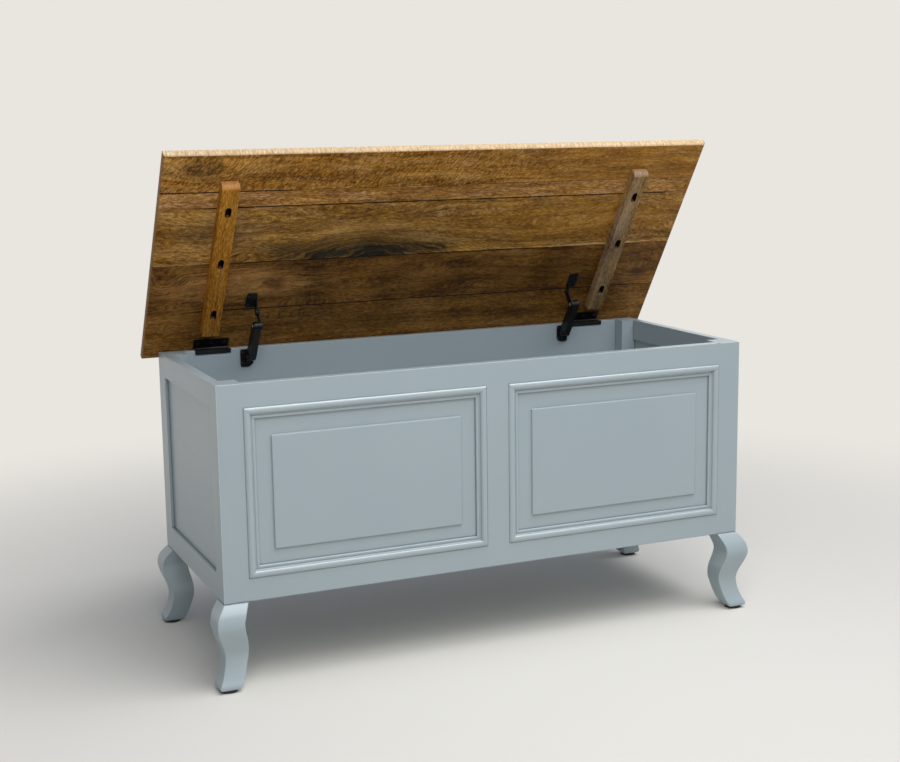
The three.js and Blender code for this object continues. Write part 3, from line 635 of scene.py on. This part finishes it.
def blob(tree, place, centre, reach):
    """1 at the centre of an oval spot, falling smoothly to 0 at its edge."""
    offset = add(tree, "ShaderNodeVectorMath", {0: place, 1: (*centre, 0)}, operation="SUBTRACT")
    flat = {0: offset, 1: (1 / reach[0], 1 / reach[1], 0)}
    flat = add(tree, "ShaderNodeVectorMath", flat, operation="MULTIPLY")
    far = add(tree, "ShaderNodeVectorMath", {0: flat}, operation="LENGTH")
    fall = {"Value": far.outputs["Value"], "From Min": 1.0, "From Max": 0.0}
    return add(tree, "ShaderNodeMapRange", fall, interpolation_type="SMOOTHERSTEP")


def oiled_mango(
    name,
    tones,
    shift,
    along="X",
    ring=9,
    bend=90,
    curl=0.4,
    curl_ends=(600, 700),
    cloudy=0.8,
    sanded_from=None,
    sanded=("#A0784C", "#F3DDB6"),
    swirls=(),
    stains=(),
    cracks=(),
    slots=(),
):
    """Oiled mango wood, planed and sanded: golden to greyish brown, in soft bands that flow round
    knots, with short fibres that shimmer where the grain curls, open pores, and a dull sheen."""
    material, tree = bare_material(name)
    lid_place = lid_coordinates(tree)
    spread = add(tree, "ShaderNodeSeparateXYZ", {"Vector": lid_place}).outputs
    across = "Y" if along == "X" else "X"
    own = {"X": spread[along], "Y": spread[across], "Z": spread["Z"]}
    own = add(tree, "ShaderNodeCombineXYZ", own)
    place = add(tree, "ShaderNodeVectorMath", {0: own, 1: (shift, 0, 0)}, operation="ADD")
    # Spots are drawn on a bent map of the lid, so that none is a clean oval.
    drift = patches(tree, place, (60, 34, 34)).outputs["Color"]
    drift = {0: drift, 1: SPOT_DRIFT, 2: own}
    drift = add(tree, "ShaderNodeVectorMath", drift, operation="MULTIPLY_ADD")
    bent = {0: drift, 1: [reach / 2 for reach in SPOT_DRIFT]}
    bent = add(tree, "ShaderNodeVectorMath", bent, operation="SUBTRACT")
    # The wood's flow: the distance across the boards, bent by slow waves and by each swirl.
    flow = spread[across]
    slow = patches(tree, place, (360, 100, 90))
    quick = patches(tree, place, (50, 20, 20))
    for wave, lift in ((slow, bend), (quick, 10)):
        flow = add(tree, "ShaderNodeMath", {0: wave, 1: lift, 2: flow}, operation="MULTIPLY_ADD")
    for centre, reach, lift in swirls:
        spot = blob(tree, bent, centre, reach)
        flow = add(tree, "ShaderNodeMath", {0: spot, 1: lift, 2: flow}, operation="MULTIPLY_ADD")
    parts = add(tree, "ShaderNodeSeparateXYZ", {"Vector": place}).outputs
    grain = add(tree, "ShaderNodeCombineXYZ", {"X": parts[0], "Y": flow, "Z": parts[2]})
    # Growth bands, broad and narrow, then fibres. The real fibres are about 0.3 mm wide, and are
    # drawn coarser here, so that they show. Curled ones lie aslant.
    broad = patches(tree, grain, (420, 26, 60))
    band = patches(tree, grain, (170, ring, 40), 4.0, 0.6)
    fibre = patches(tree, grain, (10, 2.6, 5), 3.0, 0.6)
    slant = {"Vector": place, "Rotation": (0, 0, CURL_SLANT)}
    figure = patches(tree, add(tree, "ShaderNodeMapping", slant), (7.5, 2.0, 5), 2.0)
    curled = {"Value": spread["X"], "From Min": curl_ends[1], "From Max": curl_ends[0]}
    curled = add(tree, "ShaderNodeMapRange", curled)
    figure = add(tree, "ShaderNodeMath", {0: figure, 1: -0.5}, operation="ADD")
    figure = add(tree, "ShaderNodeMath", {0: figure, 1: curled, 2: 0.5}, operation="MULTIPLY_ADD")
    cloud = patches(tree, place, (110, 45, 45), 4.0)
    weights = ((broad, 0.45), (band, 0.65), (fibre, 1.3 - 0.4 * curl), (figure, curl), (cloud, cloudy))
    tone = 0.5 - sum(weight for _, weight in weights) / 2
    for pattern, weight in weights:
        tone = add(tree, "ShaderNodeMath", {0: pattern, 1: weight, 2: tone}, operation="MULTIPLY_ADD")
    ramp = add(tree, "ShaderNodeValToRGB", {"Fac": tone})
    ramp.color_ramp.elements[0].position = 0.2
    ramp.color_ramp.elements[0].color = linear(tones[0])
    ramp.color_ramp.elements[1].position = 0.8
    ramp.color_ramp.elements[1].color = linear(tones[2])
    ramp.color_ramp.elements.new(0.5).color = linear(tones[1])
    colour = ramp.outputs["Color"]
    # Streaks of a golden hue, and greyish ones between them.
    golden = patches(tree, grain, (120, 16, 40), 3.0, 0.6)
    golden = add(tree, "ShaderNodeMapRange", {"Value": golden, "From Min": 0.38, "From Max": 0.62})
    hue = blended(tree, golden, linear("#F6F4FF"), linear("#FFF4C2"))
    colour = blended(tree, 1.0, colour, hue, "MULTIPLY")
    # Thin dark growth lines, and pores like short scratches.
    line = patches(tree, grain, (150, 3.4, 20), 2.0)
    line = {"Value": line, "From Min": 0.4, "From Max": 0.3, "To Max": 0.28}
    colour = blended(tree, add(tree, "ShaderNodeMapRange", line), colour, linear("#2C1B0B"))
    pore = patches(tree, grain, (7, 1.5, 3), 2.0)
    open_pore = {"Value": pore, "From Min": 0.4, "From Max": 0.28, "To Max": 0.6}
    colour = blended(tree, add(tree, "ShaderNodeMapRange", open_pore), colour, linear("#2C1B0B"))
    # Stains have ragged ends along the grain, and the grain shows through them. The smallest are
    # saw ticks, which lie only on the underside.
    ragged = patches(tree, grain, (80, 4.5, 9), 4.0, 0.6)
    shade = {"Value": tone, "From Min": 0.2, "From Max": 0.8, "To Min": 0.55, "To Max": 1.45}
    shade = add(tree, "ShaderNodeMapRange", shade)
    below = add(tree, "ShaderNodeMath", {0: spread["Z"], 1: UNDERSIDE}, operation="LESS_THAN")
    for centre, reach, tint, strength in stains:
        spot = blob(tree, bent if reach[0] > TICK_SIZE else own, centre, reach)
        if reach[0] <= TICK_SIZE:
            spot = add(tree, "ShaderNodeMath", {0: spot, 1: below}, operation="MULTIPLY")
        covered = add(tree, "ShaderNodeMath", {0: ragged, 1: -0.5}, operation="ADD")
        covered = add(tree, "ShaderNodeMath", {0: covered, 1: 2.6, 2: spot}, operation="MULTIPLY_ADD")
        covered = {"Value": covered, "From Min": 0.0, "From Max": 0.8, "To Max": strength}
        covered = add(tree, "ShaderNodeMapRange", covered)
        inside = add(tree, "ShaderNodeMath", {0: spot, 1: 6.0}, operation="MULTIPLY", use_clamp=True)
        covered = add(tree, "ShaderNodeMath", {0: covered, 1: inside}, operation="MULTIPLY")
        stained = {0: linear(tint)[:3], "Scale": shade}
        stained = add(tree, "ShaderNodeVectorMath", stained, operation="SCALE")
        colour = blended(tree, covered, colour, stained)
    # Glue joints that have opened a little, dark with dust and oil, between two places.
    uneven = patches(tree, place, (50, 50, 50))
    for seam, wide, start, stop, strength in cracks:
        off = add(tree, "ShaderNodeMath", {0: spread["Y"], 1: seam}, operation="SUBTRACT")
        off = add(tree, "ShaderNodeMath", {0: off}, operation="ABSOLUTE")
        reach = add(tree, "ShaderNodeMath", {0: uneven, 1: 2 * wide}, operation="MULTIPLY")
        dark = {"Value": off, "From Min": reach, "From Max": 0.0, "To Max": 2.5 * strength}
        dark = add(tree, "ShaderNodeMapRange", dark)
        before = {"From Min": start - SEAM_FADE, "From Max": start + SEAM_FADE}
        after = {"From Min": stop + SEAM_FADE, "From Max": stop - SEAM_FADE}
        for fade in (before, after):
            fade = add(tree, "ShaderNodeMapRange", {"Value": spread["X"], **fade})
            dark = add(tree, "ShaderNodeMath", {0: dark, 1: fade}, operation="MULTIPLY")
        dark = add(tree, "ShaderNodeMath", {0: dark, 1: strength}, operation="MINIMUM")
        colour = blended(tree, dark, colour, linear("#140C05"))
    # Painted shade darkens the walls of the screw slots, deep inside them.
    for centre in slots:
        spot = blob(tree, lid_place, centre, SLOT_REACH)
        spot = add(tree, "ShaderNodeMath", {0: spot, 1: 0.0}, operation="GREATER_THAN")
        deep = {"Value": spread["Z"], "From Min": BATTEN_FACE + 0.1, "From Max": BATTEN_FACE + 0.7}
        deep = add(tree, "ShaderNodeMapRange", deep)
        slot_shade = add(tree, "ShaderNodeMath", {0: spot, 1: deep}, operation="MULTIPLY")
        colour = blended(tree, slot_shade, colour, linear("#1A0F07"))
    facing = add(tree, "ShaderNodeTexCoord").outputs["Normal"]
    # Sawn ends show no bands, only dark open pores.
    sawn = {0: facing, 1: LID_DIRECTIONS["XYZ".index(along)]}
    sawn = add(tree, "ShaderNodeVectorMath", sawn, operation="DOT_PRODUCT")
    sawn = add(tree, "ShaderNodeMath", {0: sawn.outputs["Value"]}, operation="ABSOLUTE")
    sawn = {"Value": sawn, "From Min": 0.6, "From Max": 0.9, "To Max": 0.7}
    sawn = add(tree, "ShaderNodeMapRange", sawn)
    colour = blended(tree, sawn, colour, linear("#94704C"))
    # The rounded front was sanded across, so that it is paler, with fine ticks.
    if sanded_from:
        ahead = {0: facing, 1: LID_DIRECTIONS[1]}
        ahead = add(tree, "ShaderNodeVectorMath", ahead, operation="DOT_PRODUCT")
        ahead = {"Value": ahead.outputs["Value"], "From Min": 0.05, "From Max": 0.7, "To Max": 0.9}
        ahead = add(tree, "ShaderNodeMapRange", ahead, interpolation_type="SMOOTHSTEP")
        beyond = add(tree, "ShaderNodeMath", {0: spread["Y"], 1: sanded_from}, operation="GREATER_THAN")
        ahead = add(tree, "ShaderNodeMath", {0: ahead, 1: beyond}, operation="MULTIPLY")
        tick = patches(tree, lid_place, (3, 14, 14), 4.0, 0.7)
        tick = add(tree, "ShaderNodeMapRange", {"Value": tick, "From Min": 0.3, "From Max": 0.7})
        pale = blended(tree, tick, *(linear(tint) for tint in sanded))
        colour = blended(tree, ahead, colour, pale)
    height = add(tree, "ShaderNodeMath", {0: pore, 1: 0.8, 2: fibre}, operation="MULTIPLY_ADD")
    bump = add(tree, "ShaderNodeBump", {"Height": height, "Strength": 0.3, "Distance": 0.4 * MM})
    gloss = {"Value": figure, "From Min": 0.3, "From Max": 0.7, "To Min": 0.48, "To Max": 0.62}
    gloss = add(tree, "ShaderNodeMapRange", gloss)
    shader = {
        "Base Color": colour,
        "Roughness": gloss,
        "Normal": bump,
        "IOR": 1.47,
        "Specular IOR Level": 0.18,
    }
    shader = add(tree, "ShaderNodeBsdfPrincipled", shader)
    add(tree, "ShaderNodeOutputMaterial", {"Surface": shader})
    return material


# A crack is a seam's place across the lid, its width, its two ends along the lid, and its strength.
# A swirl is a centre, a reach and a lift, and a stain is a centre, a reach, a colour and a strength.
SEAMS = (391.3, 354.0, 218.4, 98.6)
TICKS = ((-328, 17), (-305, 21), (-279, 15), (-262, 20), (-252, 12))
ALL_ALONG = (-700, 700)
seam_1 = (SEAMS[0], 1.5, -700, -330, 1.0)
seam_1_fine = (SEAMS[0], 0.9, *ALL_ALONG, 0.45)
seam_2 = (SEAMS[1], 1.8, -500, 520, 1.0)
seam_3 = (SEAMS[2], 1.6, -470, 260, 1.0)
seam_3_fine = (SEAMS[2], 0.7, *ALL_ALONG, 0.4)
seam_4 = (SEAMS[3], 1.6, -480, 540, 1.0)
# The fourth and fifth boards, next to the hinges, have darker tones: partly their own wood, and partly
# painted shade that falls there.
BOARDS = (
    dict(
        tones=("#623D0E", "#A3732F", "#D6A765"),
        shift=0,
        curl=1.3,
        curl_ends=(80, 420),
        cloudy=0.6,
        sanded_from=465,
        bend=60,
        swirls=[((-497, 436), (95, 40), 34)],
        stains=[((-500, 440), (80, 36), "#4A3820", 0.4)],
        cracks=[seam_1, seam_1_fine],
    ),
    dict(
        tones=("#684418", "#AB7B42", "#E4B57A"),
        shift=700,
        curl=0.3,
        bend=50,
        cloudy=0.5,
        cracks=[seam_1, seam_1_fine, seam_2],
    ),
    dict(
        tones=("#5C3F15", "#9E7337", "#D8AC69"),
        shift=1500,
        curl=0.2,
        cloudy=0.6,
        swirls=[
            ((-385, 246), (60, 34), -16),
            ((-150, 232), (280, 95), -40),
            ((350, 355), (150, 50), 26),
        ],
        stains=[
            ((-160, 244), (340, 56), "#3F3822", 0.6),
            ((-150, 230), (270, 30), "#22221A", 0.9),
            ((-416, 236), (16, 9), "#4A2A0C", 0.8),
            ((400, 221), (210, 5), "#DDB878", 0.8),
            ((330, 290), (400, 90), "#B27C2E", 0.5),
            ((-450, 300), (150, 60), "#7C6544", 0.4),
        ],
        cracks=[seam_2, seam_3, seam_3_fine],
    ),
    dict(
        tones=("#422709", "#734E1E", "#9C723A"),
        shift=2600,
        curl=0.3,
        cloudy=1.1,
        swirls=[
            ((-555, 171), (62, 48), 24),
            ((6, 168), (75, 48), 22),
            ((523, 137), (66, 34), 14),
            ((-250, 120), (160, 40), -20),
        ],
        stains=[
            ((523, 133), (40, 16), "#2B190B", 0.7),
            ((-400, 160), (230, 60), "#B9864E", 0.65),
            ((-325, 160), (34, 26), "#46280F", 0.7),
            ((330, 150), (300, 70), "#5C3D14", 0.4),
        ],
        cracks=[seam_3, seam_3_fine, seam_4],
    ),
    dict(
        tones=("#4A2D07", "#7D5520", "#A77C40"),
        shift=3900,
        ring=7,
        bend=40,
        curl=0.15,
        stains=[((x, 77), (4, u), "#2A1A0A", 0.6) for x, u in TICKS],
        cracks=[seam_4],
    ),
)
for i, board in enumerate(BOARDS):
    node = nodes[f"lid_board_{i + 1}"]
    finish(node, oiled_mango(f"oiled_mango_board_{i + 1}", **board))
    ease(node, round_edges, BOARD_ARRIS, 2)


# Battens: two mango strips across the boards, screwed up through slots, so that the boards can
# swell and shrink. Each slot has a black pan-head screw at its bottom.
BATTEN_ARRIS = 1.6 * MM
SLOT_SHARES = (0.165, 0.502, 0.85)
SLOT_DEPTH = 11 * MM
SANDED_END = 8
ROUND_TURNS = [math.radians(15 * step) for step in range(24)]
CROSS_START = 12
CROSS_STEP = 34


def on_lid(point):
    """A place in the lid's own directions, from the hinge axis."""
    offset = Vector(point) - lid_axis
    return Vector([offset.dot(direction) for direction in LID_DIRECTIONS])


def from_lid(place):
    """The point at a place in the lid's own directions."""
    return lid_axis + sum((c * d for c, d in zip(place, LID_DIRECTIONS)), Vector())


def lid_box(node):
    """The lowest and highest corner of a node, in the lid's own directions."""
    corners = [on_lid(vertex.co) for vertex in nodes[node].data.vertices]
    return [Vector([pick(corner[i] for corner in corners) for i in range(3)]) for pick in (min, max)]


def cross_headed(name, profile, recess):
    """The mesh of a screw head, turned to a profile of radius and height, with a cross recess of
    the given reach, half width and depth."""
    shape = bmesh.new()
    rings = [[(r * math.cos(a), r * math.sin(a), z) for a in ROUND_TURNS] for r, z in profile]
    stacked_rings(shape, rings)
    head = shape_object(name, shape)
    reach, half, depth = recess
    top = profile[-1][1]
    plus = []
    for turn in range(4):
        quarter = Matrix.Rotation(math.radians(90 * turn), 2)
        plus += [quarter @ Vector(point) for point in ((reach, -half), (reach, half), (half, half))]
    cutter = bmesh.new()
    sizes = ((0.5, top - depth), (1, top + depth))
    stacked_rings(cutter, [[(share * x, share * y, z) for x, y in plus] for share, z in sizes])
    tool = shape_object(f"{name}_recess", cutter)
    cut = head.modifiers.new("recess", "BOOLEAN")
    cut.object = tool
    cut.operation = "DIFFERENCE"
    bpy.context.view_layer.update()
    made = bpy.data.meshes.new_from_object(head.evaluated_get(bpy.context.evaluated_depsgraph_get()))
    bpy.data.objects.remove(head)
    bpy.data.objects.remove(tool)
    return made


def set_of_screws(name, head, points, facing, body):
    """One object of like screws at the given points, with their heads facing one way and each
    cross at its own angle."""
    turn = facing.to_track_quat("Z", "Y").to_matrix().to_4x4()
    shape = bmesh.new()
    for i, point in enumerate(points):
        copy = head.copy()
        spin = Matrix.Rotation(math.radians(CROSS_STEP * i + CROSS_START), 4, "Z")
        copy.transform(Matrix.Translation(point) @ turn @ spin)
        shape.from_mesh(copy)
        bpy.data.meshes.remove(copy)
    piece = shape_object(name, shape)
    piece.data.materials.append(black_steel)
    ease(piece, round_edges, SCREW_ARRIS, 1)
    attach(piece, body)


def coated_steel():
    """Pressed steel with an electrophoretic black coat: deep black, satin, faintly grained, and
    grey on its edges, where the coat is rubbed thin, with a painted highlight along them."""
    material, tree = bare_material("black_coated_pressed_steel")
    place = add(tree, "ShaderNodeTexCoord").outputs["Object"]
    cloud = add(tree, "ShaderNodeTexNoise", {"Vector": place, "Scale": scale_of(14), "Detail": 3.0})
    tone = blended(tree, cloud, linear("#070708"), linear("#101012"))
    # Grey on the edges: the coat rubbed thin there, and a painted highlight along them.
    edge_rub_and_highlight = {"Distance": 0.8 * MM}
    edge_rub_and_highlight = add(tree, "ShaderNodeAmbientOcclusion", edge_rub_and_highlight, samples=4, inside=True)
    wear_and_highlight = {"Value": edge_rub_and_highlight.outputs["AO"], "From Min": 0.85, "From Max": 0.3, "To Max": 0.35}
    wear_and_highlight = add(tree, "ShaderNodeMapRange", wear_and_highlight)
    tone = blended(tree, wear_and_highlight, tone, linear("#444446"))
    grit = add(tree, "ShaderNodeTexNoise", {"Vector": place, "Scale": scale_of(0.9), "Detail": 2.0})
    bump = add(tree, "ShaderNodeBump", {"Height": grit, "Strength": 0.2, "Distance": 0.1 * MM})
    gloss = {"Value": cloud, "From Min": 0.3, "From Max": 0.7, "To Min": 0.3, "To Max": 0.44}
    gloss = add(tree, "ShaderNodeMapRange", gloss)
    shader = {
        "Base Color": tone,
        "Roughness": gloss,
        "Normal": bump,
        "IOR": 1.5,
        "Specular IOR Level": 0.3,
    }
    shader = add(tree, "ShaderNodeBsdfPrincipled", shader)
    add(tree, "ShaderNodeOutputMaterial", {"Surface": shader})
    return material


black_steel = coated_steel()
SCREW_ARRIS = 0.12 * MM
pan_profile = [(4.6, 0), (4.6, 1.0), (4.3, 1.6), (3.4, 2.2), (2.2, 2.5)]
pan_head = cross_headed(
    "pan_head", [(r * MM, z * MM) for r, z in pan_profile], (2.9 * MM, 0.55 * MM, 1.5 * MM)
)
for side, tones in (
    ("left", ("#6E450F", "#A97223", "#CC9742")),
    ("right", ("#5D4732", "#907553", "#B19774")),
):
    batten = nodes[f"batten_{side}"]
    low, high = lid_box(batten.name)
    middle = (low.x + high.x) / 2
    slots = [high.y - share * (high.y - low.y) for share in SLOT_SHARES]
    wood = oiled_mango(
        f"oiled_mango_batten_{side}",
        tones,
        shift=5100 if side == "left" else 6400,
        ring=5,
        bend=20,
        curl=0.2,
        along="Y",
        sanded_from=high.y / MM - SANDED_END,
        sanded=("#A06C38", "#C8955A") if side == "left" else ("#8C6C50", "#B59779"),
        slots=[(middle / MM, slot / MM) for slot in slots],
    )
    finish(batten, wood)
    ease(batten, round_edges, BATTEN_ARRIS)
    points = [from_lid((middle, slot, low.z + SLOT_DEPTH)) for slot in slots]
    set_of_screws(f"batten_screws_{side}", pan_head, points, -LID_DIRECTIONS[2], "lid")


# Hinges: pressed steel butt hinges, black coated, one leaf let into the back rail and one on the
# lid, with a rolled knuckle round a steel pin.
STEEL_ARRIS = 0.35 * MM
LID_LEAF_FACE = 0.15 * MM
LID_SCREW_REACH = 14 * MM
BODY_SCREW_REACHES = (9.5 * MM, 16 * MM, 9.5 * MM)
HINGE_SCREW_PITCH = 27 * MM
flat_profile = [(3.5, -0.3), (3.6, 0), (3.55, 0.08), (3.4, 0.12)]
flat_head = cross_headed(
    "countersunk_head", [(r * MM, z * MM) for r, z in flat_profile], (2.3 * MM, 0.45 * MM, 0.3 * MM)
)
for side in ("left", "right"):
    for part in ("body_leaf", "lid_leaf", "pin"):
        hinge = nodes[f"hinge_{side}_{part}"]
        finish(hinge, black_steel)
        ease(hinge, round_edges, STEEL_ARRIS, 2)
    low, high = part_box(f"hinge_{side}_pin")
    middle = (low.x + high.x) / 2
    steps = [(step - 1) * HINGE_SCREW_PITCH for step in range(3)]
    points = [from_lid((middle + step, LID_SCREW_REACH, LID_LEAF_FACE)) for step in steps]
    set_of_screws(f"lid_leaf_screws_{side}", flat_head, points, -LID_DIRECTIONS[2], "lid")
    points = []
    for step, reach in zip(steps, BODY_SCREW_REACHES):
        points.append(Vector((middle + step, lid_axis.y - reach, rim)))
    set_of_screws(f"body_leaf_screws_{side}", flat_head, points, Vector((0, 0, 1)), "chest_body")


# Stays: a spring housing that swings on a bracket inside the back rail, and a flat arm that joins
# it to a bracket under the lid, all of black coated pressed steel. The rivets at the elbow are
# bright zinc, and two pan-head screws hold each bracket.
CAP_RADIUS = 4.2 * MM
CAP_RISE = 0.6 * MM
CAP_ANGLES = (0, 25, 50, 72)
BODY_PLATE_FACE = 2.8 * MM
BODY_PLATE_SCREWS = {"left": (-380.8, (555, 533)), "right": (353.5, (557, 532))}
LID_PLATE_FACE = -0.75 * MM
LID_PLATE_SCREWS = {"left": -377.2, "right": 373.2}
LID_PLATE_REACHES = (112, 132)
small_profile = [(3.0, 0), (3.0, 0.6), (2.7, 1.2), (1.9, 1.6), (1.2, 1.7)]
small_head = cross_headed(
    "small_pan_head", [(r * MM, z * MM) for r, z in small_profile], (1.8 * MM, 0.4 * MM, 1.0 * MM)
)


def plated_zinc():
    """Zinc-plated steel: a pale blueish metal with a fine frosted grain."""
    material, tree = bare_material("zinc_plated_steel")
    place = add(tree, "ShaderNodeTexCoord").outputs["Object"]
    frost = add(tree, "ShaderNodeTexNoise", {"Vector": place, "Scale": scale_of(1.2), "Detail": 3.0})
    tone = blended(tree, frost, linear("#B4B8BC"), linear("#D6D9DC"))
    bump = add(tree, "ShaderNodeBump", {"Height": frost, "Strength": 0.2, "Distance": 0.1 * MM})
    gloss = {"Value": frost, "From Min": 0.3, "From Max": 0.7, "To Min": 0.28, "To Max": 0.4}
    gloss = add(tree, "ShaderNodeMapRange", gloss)
    shader = {"Base Color": tone, "Roughness": gloss, "Normal": bump, "Metallic": 1.0}
    shader = add(tree, "ShaderNodeBsdfPrincipled", shader)
    add(tree, "ShaderNodeOutputMaterial", {"Surface": shader})
    return material


def rivet_cap(name, node, direction, body):
    """A domed bright rivet end on the face of a node that lies furthest in a direction along x."""
    places = [vertex.co for vertex in nodes[node].data.vertices]
    furthest = max(direction * place.x for place in places)
    face = [place for place in places if furthest - direction * place.x < WELD_REACH]
    centre = sum(face, Vector()) / len(face)
    shape = bmesh.new()
    rings = []
    for angle in CAP_ANGLES:
        lean = math.radians(angle)
        radius = CAP_RADIUS * math.cos(lean)
        x = centre.x + direction * CAP_RISE * math.sin(lean)
        circle = [(radius * math.cos(a), radius * math.sin(a)) for a in ROUND_TURNS]
        rings.append([(x, centre.y + y, centre.z + z) for y, z in circle])
    stacked_rings(shape, rings)
    cap = shape_object(name, shape)
    cap.data.materials.append(zinc)
    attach(cap, body)


zinc = plated_zinc()
for side in ("left", "right"):
    for part in ("body_bracket", "lower_arm", "upper_arm", "lid_bracket"):
        stay = nodes[f"stay_{side}_{part}"]
        finish(stay, black_steel)
        ease(stay, round_edges, STEEL_ARRIS, 2)
    x, heights = BODY_PLATE_SCREWS[side]
    points = [Vector((x * MM, rail_face_y - BODY_PLATE_FACE, height * MM)) for height in heights]
    set_of_screws(f"body_plate_screws_{side}", small_head, points, Vector((0, -1, 0)), "chest_body")
    x = LID_PLATE_SCREWS[side]
    points = [from_lid((x * MM, reach * MM, LID_PLATE_FACE)) for reach in LID_PLATE_REACHES]
    set_of_screws(f"lid_plate_screws_{side}", small_head, points, -LID_DIRECTIONS[2], "lid")
    outward = -1 if side == "left" else 1
    rivet_cap(f"elbow_rivet_outer_{side}", f"stay_{side}_lower_arm", outward, f"{side}_lower_arm")
    rivet_cap(f"elbow_rivet_inner_{side}", f"stay_{side}_upper_arm", -outward, f"{side}_upper_arm")


bpy.context.view_layer.update()
